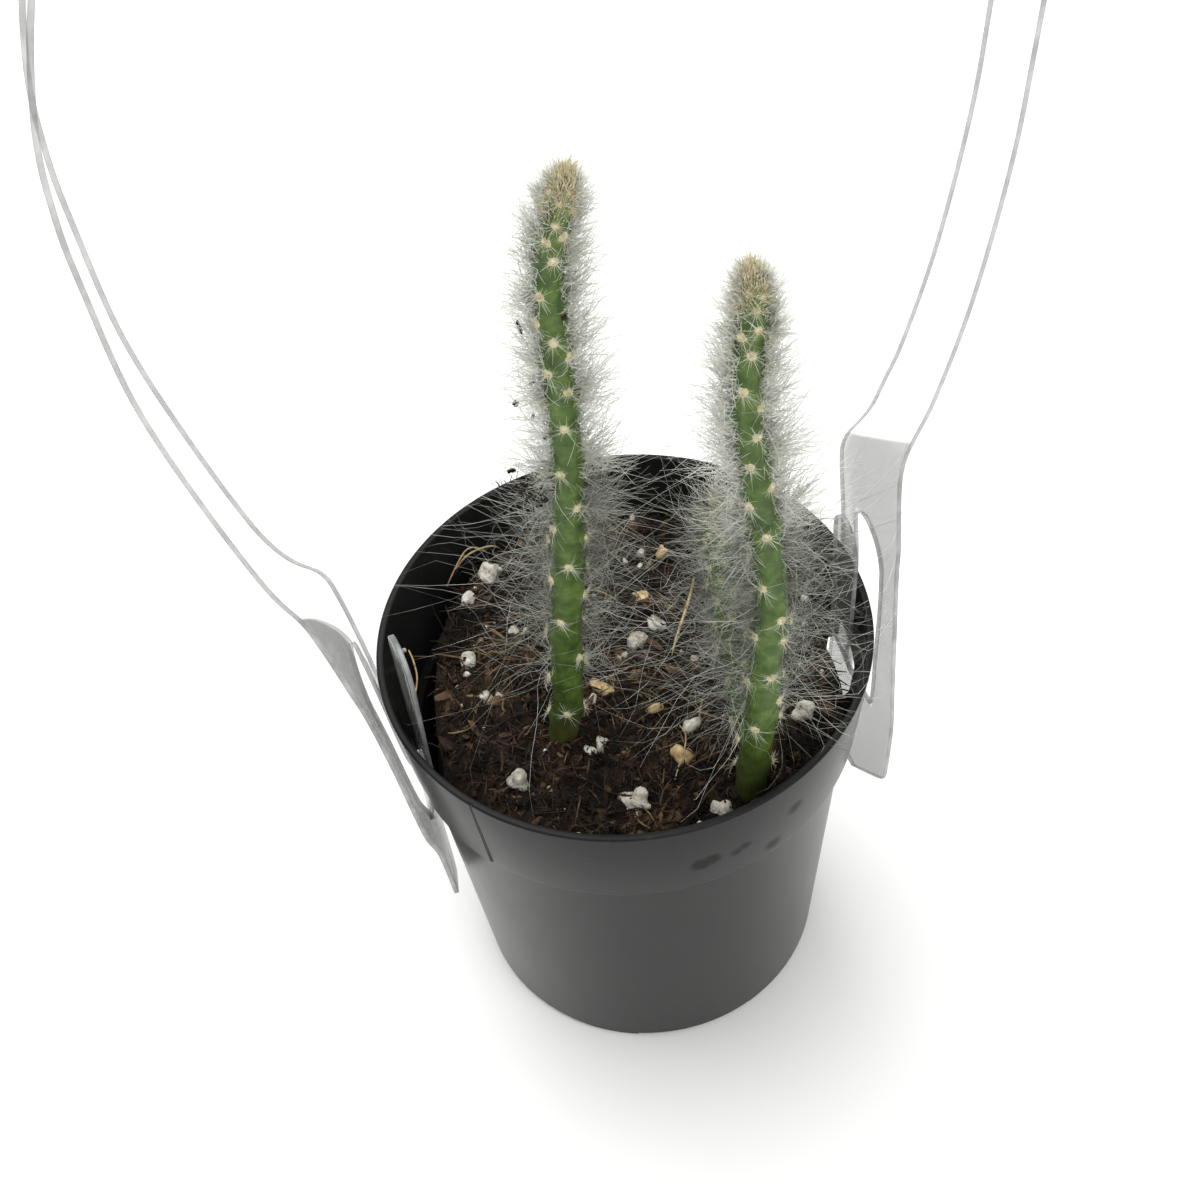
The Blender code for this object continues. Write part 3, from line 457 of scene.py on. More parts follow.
soil = {
    "height": 0.0541,
    "floor": 0.0023,
    "shrinks": ((0.0038, 182.0, 48.0), (0.0026, 5.0, 24.0)),  # width, direction and spread
    "mound": (-0.014, 0.010, 0.011, 0.0018),  # x, y, spread and height
    "relief": ((0.0060, 0.0008), (0.0024, 0.0010), (0.0010, 0.0007)),  # size of the clumps and their height
    "gap": 0.00036,  # between the soil's side and the wall
    "sideHeights": (0.0023, 0.020, 0.040, 0.0450, 0.0474, 0.0492, 0.0508, 0.0520, 0.0530),
    "sideRough": 0.0005,
    "edgeDrop": 0.0009,
    "sectors": 360,
    "topRings": 112,
    "fibres": 5200,
    "crumbs": 3300,
    "specks": 70,
    "frontPeat": (-0.017, 0.012),  # behind this line the litter turns paler, over this width
    "palePatch": (0.002, -0.008, 0.0065, 0.22),  # x, y, spread and how much paler
    "stuckGrains": ((-0.0292, 0.0050, 0.0575), (-0.0296, 0.0026, 0.0570)),  # on the pot's inner wall
    "stuckSize": 0.00032,
    # Perlite grains: x, y and size
    "perlite": (
        (-0.0004, -0.0206, 0.0019), (0.0218, -0.0100, 0.0017), (0.0046, 0.0073, 0.0012),
        (-0.0177, 0.0184, 0.0013), (-0.0205, 0.0134, 0.0011), (-0.0043, -0.0110, 0.0013),
        (0.0074, -0.0099, 0.0012), (0.0097, -0.0235, 0.0013), (-0.0150, -0.0160, 0.0012),
        (-0.0187, -0.0021, 0.0011), (-0.0207, 0.0030, 0.0010), (0.0200, 0.0118, 0.0012),
        (0.0017, 0.0042, 0.0012), (-0.0167, -0.0023, 0.0008), (-0.0058, -0.0121, 0.0007),
    ),
    # Bark chips: x, y and half length
    "bark": (
        (0.0060, -0.0150, 0.0021), (-0.0034, -0.0028, 0.0018), (0.0063, 0.0200, 0.0019),
        (0.0030, -0.0065, 0.0017), (0.0027, 0.0130, 0.0016),
    ),
    # Loose roots: thickness and route. One long dry one, a curled one on the left wall and short ones
    "roots": (
        (0.00021, (
            (0.0102, 0.0114, 0.0590), (0.0093, 0.0090, 0.0578), (0.0080, 0.0062, 0.0566),
            (0.0068, 0.0036, 0.0556), (0.0061, 0.0019, 0.0546),
        )),
        (0.00013, (
            (-0.0284, 0.0038, 0.0590), (-0.0279, 0.0026, 0.0582), (-0.0276, 0.0008, 0.0568),
            (-0.0281, -0.0010, 0.0554), (-0.0286, -0.0018, 0.0545),
        )),
        (0.00014, (
            (-0.0222, 0.0190, 0.0570), (-0.0205, 0.0200, 0.0584), (-0.0186, 0.0205, 0.0590),
            (-0.0170, 0.0214, 0.0584), (-0.0160, 0.0222, 0.0570),
        )),
        (0.00011, (
            (-0.0236, 0.0168, 0.0560), (-0.0220, 0.0186, 0.0580), (-0.0204, 0.0204, 0.0592),
            (-0.0190, 0.0212, 0.0586), (-0.0178, 0.0216, 0.0572),
        )),
        (0.00009, (
            (-0.0066, 0.0120, 0.0555), (-0.0050, 0.0128, 0.0566), (-0.0030, 0.0126, 0.0570),
            (-0.0012, 0.0118, 0.0564), (0.0002, 0.0112, 0.0552),
        )),
        (0.00010, (
            (0.0060, -0.0100, 0.0552), (0.0066, -0.0122, 0.0560), (0.0062, -0.0145, 0.0560),
            (0.0052, -0.0166, 0.0552), (0.0046, -0.0180, 0.0546),
        )),
    ),
    "peat": ((0.18, "050403"), (0.42, "150f0b"), (0.60, "2f2217"), (0.78, "594431"), (0.97, "8c7e5c")),
}


def soilEdge(angle, height):
    # Radius of the soil's side: the wall's own, less where it has dried and drawn back
    shrink = 0.0
    for width, centre, spread in soil["shrinks"]:
        apart = (np.degrees(angle) - centre + 180) % 360 - 180
        shrink = shrink + width * np.exp(-1.4 * (apart / spread) ** 2)
    return wallRadius(height) - soil["gap"] - shrink * np.interp(height, (0.040, 0.047, 0.0545), (0, 0.55, 1))


def soilHeight(x, y):
    # A low mound, gentle ripples and clumps at three sizes
    mx, my, spread, high = soil["mound"]
    level = soil["height"] + high * np.exp(-((x - mx) ** 2 + (y - my) ** 2) / (2 * spread ** 2))
    ripple = np.sin(620 * x + 1.3) * np.cos(540 * y - 0.4) + 0.7 * np.sin(910 * x - 760 * y)
    level = level + 0.00032 * ripple
    for number, (size, height) in enumerate(soil["relief"]):
        level = level + height * (np.abs(2 * valueNoise(x, y, size, 30 + number) - 1) - 0.35)
    return level


def peatMaterial():
    # Loose peat and coir: dark and matt, each fibre its own brown, from a shade kept on the mesh
    material, tree = startMaterial("peatAndCoir", {"Roughness": 0.92, "Specular IOR Level": 0.25})
    place = addNode(tree, "TexCoord", {}).outputs["Object"]
    own = addNode(tree, "Attribute", {"attribute_name": "shade"})
    patches = addNode(tree, "TexNoise", {"Scale": 150.0, "Detail": 5.0, "Roughness": 0.65}, {"Vector": place})
    both = addNode(
        tree, "Math", {"operation": "MULTIPLY_ADD", 1: 0.55}, {0: own.outputs["Fac"], 2: patches.outputs["Fac"]}
    )
    shift = addNode(tree, "Math", {"operation": "SUBTRACT", 1: 0.25}, {0: both.outputs[0]})
    addNode(tree, "ValToRGB", {"stops": soil["peat"]}, {"Fac": shift.outputs[0]}, "Base Color")
    grit = addNode(tree, "TexNoise", {"Scale": 2200.0, "Detail": 4.0}, {"Vector": place})
    addNode(tree, "Bump", {"Strength": 0.6, "Distance": 0.0002}, {"Height": grit.outputs["Fac"]}, "Normal")
    return material


def soilBed(material):
    # Rings from the buried centre out along the floor, up the side and in over the rough top
    sectors = soil["sectors"]
    topRings = soil["topRings"]
    angle = fullTurn(sectors)
    cos = np.cos(angle)
    sin = np.sin(angle)
    rings = []
    for height in soil["sideHeights"]:
        radius = soilEdge(angle, height)
        if height > 0.044:
            rough = valueNoise(radius * angle, np.full(sectors, height), 0.0016, 5)
            radius = radius - soil["sideRough"] * rough
        rings.append(np.column_stack([radius * cos, radius * sin, np.full(sectors, height)]))
    edge = soilEdge(angle, soil["height"]) - 0.0005
    share = np.linspace(1, 0.004, topRings)[:, None]
    x = edge * share * cos
    y = edge * share * sin
    lower = soil["edgeDrop"] * np.clip((share - 0.965) / 0.035, 0, 1) ** 2
    top = np.stack([x, y, soilHeight(x, y) - lower], -1)
    ends = [[0, 0, soil["floor"]], [0, 0, float(soilHeight(0.0, 0.0))]]
    points = np.vstack(rings + [top.reshape(-1, 3), ends])
    shade = np.clip(valueNoise(points[:, 0], points[:, 1], 0.0016, 12) * 0.8, 0, 1)
    faces = closedTube(len(rings) + topRings, sectors)
    return meshObject("soilBed", points, faces, material, shade=shade)


def spotsOnSoil(count, rng, inset):
    # Even random spots inside the soil's edge
    angle = rng.uniform(0, 2 * math.pi, count)
    radius = (soilEdge(angle, soil["height"]) - inset) * np.sqrt(rng.uniform(0, 1, count))
    return radius * np.cos(angle), radius * np.sin(angle)


def keepInside(points, gap=0.0004):
    # Points below the rim are drawn in to the pot's inner wall
    radius = np.maximum(np.hypot(points[..., 0], points[..., 1]), 1e-9)
    limit = np.where(points[..., 2] < pot["height"] + 0.0006, wallRadius(points[..., 2]) - gap, 1.0)
    scale = np.minimum(1.0, limit / radius)
    return np.stack([points[..., 0] * scale, points[..., 1] * scale, points[..., 2]], -1)


def paleLitter(x, y, behind):
    # Litter is paler behind the front of the pot, and in a round patch near the middle
    start, width = soil["frontPeat"]
    px, py, spread, most = soil["palePatch"]
    pale = np.clip((y - start) / width, 0, 1) * behind
    return pale + most * np.exp(-((x - px) ** 2 + (y - py) ** 2) / (2 * spread ** 2))


def soilFibres(material):
    # Short bent threads at random spots, each lying at a low angle and kept close to the soil's surface
    rng = np.random.default_rng(21)
    count = soil["fibres"]
    x, y = spotsOnSoil(count, rng, 0.0012)
    z = soilHeight(x, y) + rng.uniform(-0.0001, 0.0004, count)
    turn = rng.uniform(0, 2 * math.pi, count)
    lift = rng.normal(0.10, 0.30, count)
    lines = np.column_stack([np.cos(turn) * np.cos(lift), np.sin(turn) * np.cos(lift), np.sin(lift)])
    length = rng.gamma(3.0, 0.00042, count) + 0.0005
    bends = rng.normal(0, 0.55, (count, 3)) * [1, 1, 0.6]
    centres = keepInside(bentThreads(np.column_stack([x, y, z]), lines, length, bends, 4))
    floor = soilHeight(centres[..., 0], centres[..., 1])
    centres[..., 2] = np.clip(centres[..., 2], floor - 0.0001, floor + 0.0016)
    radius = rng.gamma(4.0, 0.000024, count)[:, None] * np.array([0.8, 1.0, 0.9, 0.4]) + 0.00002
    points, faces = strands(centres, radius, 3)
    shade = np.repeat(rng.beta(1.5, 2.0, count) + paleLitter(x, y, 0.14), len(points) // count)
    return meshObject("soilFibres", points, faces, material, shade=shade)


def soilCrumbs(material):
    # Flat rough grains at random spots, a third of their height above the surface
    rng = np.random.default_rng(22)
    count = soil["crumbs"]
    x, y = spotsOnSoil(count, rng, 0.0008)
    radius = rng.gamma(2.2, 0.00012, count)[:, None] + 0.00012
    radii = radius * rng.uniform((0.8, 0.4, 0.15), (2.0, 0.9, 0.5), (count, 3))
    centres = np.column_stack([x, y, soilHeight(x, y) + 0.3 * radius[:, 0]])
    points, faces = lumps(centres, radii, 1, 0.30, 23)
    shade = np.repeat(rng.beta(1.1, 1.8, count) + paleLitter(x, y, 0.10), len(points) // count)
    return meshObject("soilCrumbs", points, [faces], material, smooth=False, shade=shade)


def perliteMaterial():
    # Expanded volcanic glass: chalk white, dull and finely pitted
    material, tree = startMaterial("expandedPerlite", {"Roughness": 0.85})
    place = addNode(tree, "TexCoord", {}).outputs["Object"]
    stain = addNode(tree, "TexNoise", {"Scale": 700.0, "Detail": 4.0}, {"Vector": place})
    addNode(
        tree, "ValToRGB", {"stops": [(0.35, "8f8674"), (0.55, "cbc7bb"), (0.8, "e2e0d8")]},
        {"Fac": stain.outputs["Fac"]}, "Base Color",
    )
    pits = addNode(tree, "TexVoronoi", {"Scale": 2600.0}, {"Vector": place})
    addNode(tree, "Bump", {"Strength": 0.7, "Distance": 0.0002}, {"Height": pits.outputs["Distance"]}, "Normal")
    return material


def perliteGrains(material):
    # Rough grains in three sets: the given ones, fine specks at random spots, and those stuck on the wall
    x, y, size = np.array(soil["perlite"]).T
    rng = np.random.default_rng(31)
    centres = np.column_stack([x, y, soilHeight(x, y) + 0.35 * size])
    large, largeFaces = lumps(centres, size[:, None] * rng.uniform(0.72, 1.08, (len(size), 3)), 3, 0.36, 32)
    x, y = spotsOnSoil(soil["specks"], rng, 0.001)
    size = rng.gamma(2.0, 0.00012, soil["specks"])[:, None] + 0.00012
    spots = np.column_stack([x, y, soilHeight(x, y) + 0.6 * size[:, 0]])
    small, smallFaces = lumps(spots, size * rng.uniform(0.7, 1.2, (soil["specks"], 3)), 2, 0.25, 33)
    onWall = np.array(soil["stuckGrains"])
    stuck, stuckFaces = lumps(onWall, np.full(onWall.shape, soil["stuckSize"]), 2, 0.25, 34)
    points = np.vstack([large, small, stuck])
    faces = np.vstack([largeFaces, smallFaces + len(large), stuckFaces + len(large) + len(small)])
    return meshObject("perliteGrains", points, [faces], material)


def barkMaterial():
    # Dry bark and root bits: pale tan, fibrous, dull
    material, tree = startMaterial("dryBark", {"Roughness": 0.8})
    place = addNode(tree, "TexCoord", {}).outputs["Object"]
    grain = addNode(tree, "TexNoise", {"Scale": 900.0, "Detail": 5.0}, {"Vector": place})
    addNode(
        tree, "ValToRGB", {"stops": [(0.3, "7c6038"), (0.55, "b8a070"), (0.8, "d8c79c")]},
        {"Fac": grain.outputs["Fac"]}, "Base Color",
    )
    addNode(tree, "Bump", {"Strength": 0.5, "Distance": 0.0002}, {"Height": grain.outputs["Fac"]}, "Normal")
    return material


def barkChips(material):
    # Rough grains stretched along x and flattened
    x, y, size = np.array(soil["bark"]).T
    centres = np.column_stack([x, y, soilHeight(x, y) + 0.0004])
    points, faces = lumps(centres, size[:, None] * np.array([[1.0, 0.55, 0.35]]), 3, 0.30, 41)
    return meshObject("barkChips", points, [faces], material)


def looseRoots(material):
    # A tube along the smooth curve through each route, thickest in its middle
    steps = 15
    centres = np.stack([resample(route, steps) for thickness, route in soil["roots"]])
    thick = np.array([thickness for thickness, route in soil["roots"]])[:, None]
    radius = thick * np.interp(np.linspace(0, 1, steps), (0, 0.15, 0.8, 1), (0.6, 1, 0.9, 0.3))[None]
    points, faces = strands(centres, radius, 6)
    return meshObject("looseRoots", points, faces, material)


def resample(rows, count):
    # This many points at even distances along the smooth curve through the rows
    curve = smoothCurve(rows, 0.0001)[0]
    return curve[np.linspace(0, len(curve) - 1, count).round().astype(int)]


peat = peatMaterial()
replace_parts(soilBed(peat), "potting_soil")
soilFibres(peat)
soilCrumbs(peat)
perliteGrains(perliteMaterial())
bark = barkMaterial()
barkChips(bark)
looseRoots(bark)
print("soil finished")


# Stems. A route's row is x, y, z and radius. An areole is a distance along the stem in mm and a turn in degrees

leftStem = {
    "name": "stemLeft",
    "route": (
        (-0.0092, -0.0093, 0.0540, 0.00190), (-0.0077, -0.0091, 0.0620, 0.00190),
        (-0.0070, -0.0087, 0.0730, 0.00185), (-0.0055, -0.0083, 0.0870, 0.00180),
        (-0.0042, -0.0078, 0.1040, 0.00170), (-0.0040, -0.0073, 0.1210, 0.00158),
        (-0.0038, -0.0071, 0.1280, 0.00150), (-0.0025, -0.0069, 0.1340, 0.00140),
        (-0.0011, -0.0067, 0.1393, 0.00125),
    ),
    "areoles": (
        (81.0, 264), (79.8, 294), (79.0, 243), (77.0, 276), (72.6, 239), (69.0, 213), (67.0, 267), (64.6, 312),
        (62.8, 239), (60.2, 294), (58.0, 198), (55.2, 270), (48.6, 246), (43.4, 297), (39.6, 216), (37.8, 339),
        (34.2, 270), (30.8, 204), (28.4, 336), (24.6, 248), (17.6, 312), (12.8, 186), (7.6, 264),
    ),
    "phase": 20.0,
    "buried": 0.0100,
    "bristles": 1300,
    "brush": 0.0052,
    "hairs": 6800,
    "reach": (0.0080, 0.0076, 0.0068, 0.0058, 0.0046, 0.0018),
    "seed": 51,
}
rightStem = {
    "name": "stemRight",
    "route": (
        (0.0138, -0.0202, 0.0540, 0.00190), (0.0149, -0.0199, 0.0650, 0.00190),
        (0.0163, -0.0194, 0.0820, 0.00180), (0.01675, -0.0191, 0.0900, 0.00175),
        (0.0160, -0.0188, 0.1010, 0.00170), (0.0148, -0.0185, 0.1120, 0.00160),
        (0.0144, -0.0182, 0.1200, 0.00150), (0.0151, -0.0180, 0.1290, 0.00140),
        (0.0151, -0.0178, 0.1346, 0.00125),
    ),
    "areoles": (
        (75.1, 282), (74.1, 230), (72.1, 267), (67.5, 252), (65.1, 312), (61.5, 288), (57.7, 255), (53.9, 312),
        (51.9, 230), (47.3, 270), (44.3, 198), (39.2, 237), (33.8, 291), (30.4, 213), (30.2, 309), (24.4, 279),
        (22.2, 201), (19.4, 318), (14.8, 246),
    ),
    "phase": 200.0,
    "buried": 0.0100,
    "bristles": 1200,
    "brush": 0.0045,
    "hairs": 6800,
    "reach": (0.0080, 0.0076, 0.0070, 0.0064, 0.0040, 0.0018),
    "seed": 52,
}
sideBranch = {
    "name": "stemBranch",
    "route": (
        (0.0146, -0.0198, 0.0590, 0.00120), (0.0139, -0.0160, 0.0635, 0.00135),
        (0.0131, -0.0132, 0.0710, 0.00140), (0.0124, -0.0120, 0.0790, 0.00135),
        (0.0118, -0.0112, 0.0870, 0.00130), (0.0116, -0.0108, 0.0970, 0.00115),
    ),
    "areoles": (),
    "phase": 240.0,
    "buried": 0.0,
    "bristles": 90,
    "brush": 0.0020,
    "hairs": 1600,
    "reach": (0.0066, 0.0062, 0.0056, 0.0050, 0.0044, 0.0036),
    "seed": 53,
}
tubercle = {"height": 0.00042, "along": 0.00062, "around": 0.00050, "fade": 0.007}
crown = {"round": 0.0026, "fall": 0.00268, "lift": 0.00012, "felt": 0.0042}
cushion = {
    "radius": 0.00053,
    "height": 0.00034,
    "sides": 12,
    "profile": ((1.0, 0.0), (0.95, 0.35), (0.78, 0.72), (0.45, 0.96), (0.12, 1.0)),  # radius and height
    "tufts": 16,
    "tuftLength": (0.0002, 0.0005),
    "tuftRadius": 0.000030,
    "sunk": -0.00012,
}
# Lengths and radii are the smallest and the largest
needles = {
    "each": 15,
    "longer": 3,
    "length": (0.0008, 0.0017),
    "longLength": (0.0014, 0.0026),
    "radius": (0.000018, 0.000032),
    "young": 0.010,  # they stand more upright over this much of the tip
    "brushLength": (0.0005, 0.0010),
    "brushRadius": (0.00004, 0.00008),
}
softHairs = {
    "steps": 4,
    "sunk": -0.00045,
    "radius": (0.000026, 0.000040),
    "star": 15,
    "starLength": (0.0009, 0.0026),
    "starRadius": (0.000013, 0.000023),
    "paintedShadeTop": 0.092,  # height where they leave the pot's shade
    "paintedShadeFade": 0.014,
}
# Hairs over the pot: how many, and the part of the stem that they grow on
wideHairs = {
    "steps": 8,
    "radius": (0.000016, 0.000030),
    "farthest": 0.0345,  # nothing reaches out past the rim by more than 3 mm
    "places": (
        (leftStem, 460, 0.012, 0.046), (rightStem, 480, 0.014, 0.046), (sideBranch, 260, 0.004, 0.036),
    ),
}


def stemFrame(stem, spacing):
    # Centre line, skin radius, direction, and two directions across it: one near +X and one near +Y
    curve, distance = smoothCurve(stem["route"], spacing)
    centre = curve[:, :3]
    along = unit(np.gradient(centre, axis=0))
    side = unit(np.array([1.0, 0, 0]) - along * along[:, :1])
    return centre, curve[:, 3], along, side, np.cross(along, side), distance


def areolePlaces(stem):
    # The areoles that face the viewer are given; a golden-angle spiral fills the far side and the crowded tip
    length = stemFrame(stem, 0.0005)[-1][-1]
    given = [(place / 1000, math.radians(turn)) for place, turn in stem["areoles"]]
    fromTip = 0.0012
    turn = stem["phase"]
    places = list(given)
    while fromTip < length - 0.0026:
        place = length - fromTip
        facing = given and 180 < turn % 360 < 345 and place < length - 0.0050
        clear = all(abs(place - p) > 0.0016 or math.cos(t - math.radians(turn)) < 0.7 for p, t in given)
        if not facing and clear:
            places.append((place, math.radians(turn % 360)))
        fromTip += min(0.00125, 0.00012 + 0.045 * fromTip)
        turn += 137.5  # the golden angle
    return np.array(places), length


def crownShare(past):
    # A round end: the share of the full radius at a distance past the foot of the dome
    return np.sqrt(np.clip(1 - np.clip(past / crown["fall"], 0, 1) ** 2, 0, 1))


def hillShare(fromTip):
    # Hills are lower towards the tip
    return np.clip(fromTip / tubercle["fade"], 0.1, 1.0)


def stemSkin(stem, material):
    # Tube along the centre line: its radius is the route's, with a round end and a low hill under each areole
    sides = 56
    centre, radius, along, side, front, distance = stemFrame(stem, 0.00025)
    places, length = areolePlaces(stem)
    angle = fullTurn(sides)
    dome = crownShare(distance - length + crown["round"])
    skin = (radius * dome)[:, None] * np.ones(sides)
    near = np.zeros_like(skin)
    for place, turn in places:
        arc = np.angle(np.exp(1j * (angle - turn)))[None] * radius[:, None]
        offset = (distance - place)[:, None]
        stretch = np.where(offset < 0, tubercle["along"] * 1.5, tubercle["along"])
        hill = np.exp(-(arc / tubercle["around"]) ** 2 / 2 - (offset / stretch) ** 2 / 2)
        skin = skin + tubercle["height"] * hillShare(length - place) * dome[:, None] * hill
        near = np.maximum(near, hill)
    # Past 1 the shade stands for the felt that covers the crown
    near = near + np.clip(1.15 - (length - distance) / crown["felt"], 0, 1)[:, None]
    wander = valueNoise(distance[:, None], radius[0] * angle, 0.0009, stem["seed"])
    seam = valueNoise(distance[:, None], 0.002 * np.cos(angle), 0.0011, 7)
    skin = skin + 0.00005 * (0.5 * wander + 0.5 * seam) * dome[:, None]
    out = np.cos(angle)[None, :, None] * side[:, None] + np.sin(angle)[None, :, None] * front[:, None]
    rings = centre[:, None] + skin[:, :, None] * out
    foot = centre[0] - along[0] * stem["buried"]
    if stem["buried"]:
        rings = np.concatenate([np.stack([foot, centre[0]])[:, None] + radius[0] * out[0], rings[1:]])
        near = np.concatenate([near[:1], near])
    tip = centre[-1] + along[-1] * crown["lift"]
    points = np.vstack([rings.reshape(-1, 3), foot, tip])
    shade = np.concatenate([near.ravel(), [0, 2]])
    return meshObject(stem["name"], points, closedTube(len(rings), sides), material, shade=shade)


def stemSkinMaterial():
    # Living cactus skin: waxy mid green, paler on the hills, felted at the tip, brown and corky near the soil
    material, tree = startMaterial(
        "greenStemSkin",
        {
            "Roughness": 0.48, "IOR": 1.42, "Subsurface Weight": 0.12,
            "Subsurface Radius": (0.0006, 0.0012, 0.0004),
        },
    )
    place = addNode(tree, "TexCoord", {}).outputs["Object"]
    near = addNode(tree, "Attribute", {"attribute_name": "shade"})
    mottle = addNode(tree, "TexNoise", {"Scale": 520.0, "Detail": 5.0, "Roughness": 0.62}, {"Vector": place})
    green = addNode(
        tree, "ValToRGB", {"stops": [(0.30, "2f4315"), (0.50, "475f25"), (0.72, "637b35")]},
        {"Fac": mottle.outputs["Fac"]},
    )
    hills = addNode(
        tree, "MapRange", {"From Min": 0.25, "From Max": 0.95, "To Max": 0.55}, {"Value": near.outputs["Fac"]}
    )
    raised = addNode(
        tree, "Mix", {"data_type": "RGBA", 7: hexColour("748548")},
        {0: hills.outputs[0], 6: green.outputs["Color"]},
    )
    felted = addNode(
        tree, "MapRange", {"From Min": 0.9, "From Max": 1.9, "To Max": 0.85}, {"Value": near.outputs["Fac"]}
    )
    pale = addNode(
        tree, "Mix", {"data_type": "RGBA", 7: hexColour("a39a70")}, {0: felted.outputs[0], 6: raised.outputs[2]}
    )
    height = addNode(tree, "SeparateXYZ", {}, {0: place})
    corky = addNode(tree, "TexNoise", {"Scale": 900.0, "Detail": 4.0}, {"Vector": place})
    ragged = addNode(tree, "Math", {"operation": "MULTIPLY_ADD", 1: 0.012, 2: 0.0}, {0: corky.outputs["Fac"]})
    level = addNode(tree, "Math", {"operation": "SUBTRACT"}, {0: height.outputs["Z"], 1: ragged.outputs[0]})
    base = addNode(
        tree, "MapRange", {"From Min": 0.0480, "From Max": 0.0600, "To Min": 0.9, "To Max": 0.0},
        {"Value": level.outputs[0]},
    )
    addNode(
        tree, "Mix", {"data_type": "RGBA", 7: hexColour("3d3a1e")}, {0: base.outputs[0], 6: pale.outputs[2]},
        "Base Color",
    )
    pores = addNode(tree, "TexNoise", {"Scale": 3200.0, "Detail": 2.0}, {"Vector": place})
    addNode(tree, "Bump", {"Strength": 0.25, "Distance": 0.00008}, {"Height": pores.outputs["Fac"]}, "Normal")
    return material


def atPlace(stem, places, lift):
    # Point on the skin at each areole, with the directions out, round and up there
    centre, radius, along, side, front, distance = stemFrame(stem, 0.00025)
    place, turn = places[:, 0], places[:, 1:]
    spot, up, right, near = [readCurve(place, distance, rows) for rows in (centre, along, side, front)]
    up = unit(up)
    out = unit(np.cos(turn) * right + np.sin(turn) * near)
    length = distance[-1]
    dome = crownShare(place - length + crown["round"])
    hill = tubercle["height"] * hillShare(length - place)
    reach = np.interp(place, distance, radius) * dome + hill * dome + lift
    return spot + out * reach[:, None], out, np.cross(up, out), up


def woolCushions(stem, material):
    # Each areole is a low round pad of felt, with short tufts standing in it
    rng = np.random.default_rng(stem["seed"] + 10)
    places, length = areolePlaces(stem)
    spot, out, across, up = atPlace(stem, places, cushion["sunk"])
    small = np.clip((length - places[:, 0]) / 0.006, 0.72, 1.0)
    sides = cushion["sides"]
    rows = np.array(cushion["profile"])
    shape = (len(places), len(rows), sides)
    angle = fullTurn(sides)
    wobble = 1 + 0.14 * rng.normal(size=(len(places), 1, sides))
    flat = rows[None, :, 0, None] * wobble * cushion["radius"] * small[:, None, None]
    high = rows[None, :, 1, None] * cushion["height"] * (1 + 0.25 * rng.normal(size=shape))
    points = (
        spot[:, None, None] + out[:, None, None] * high[..., None]
        + across[:, None, None] * (flat * np.cos(angle))[..., None]
        + up[:, None, None] * (flat * np.sin(angle))[..., None]
    ).reshape(-1, 3)
    walls, floors, lids = manyTubes(*shape)
    count = len(places) * cushion["tufts"]
    own = np.repeat(np.arange(len(places)), cushion["tufts"])
    spread = rng.normal(0, 0.42, (count, 2)) * cushion["radius"] * small[own][:, None]
    roots = spot[own] + out[own] * 0.00018 + across[own] * spread[:, :1] + up[own] * spread[:, 1:]
    lines = unit(out[own] + rng.normal(0, 0.55, (count, 3)))
    centres = bentThreads(
        roots, lines, rng.uniform(*cushion["tuftLength"], count), rng.normal(0, 0.3, (count, 3)), 3
    )
    tufts, tuftFaces = strands(centres, np.full((count, 3), cushion["tuftRadius"]) * np.array([1, 1, 0.5]), 3)
    sets = [walls, lids, floors] + [part + len(points) for part in tuftFaces]
    return meshObject(stem["name"] + "Wool", np.vstack([points, tufts]), sets, material)


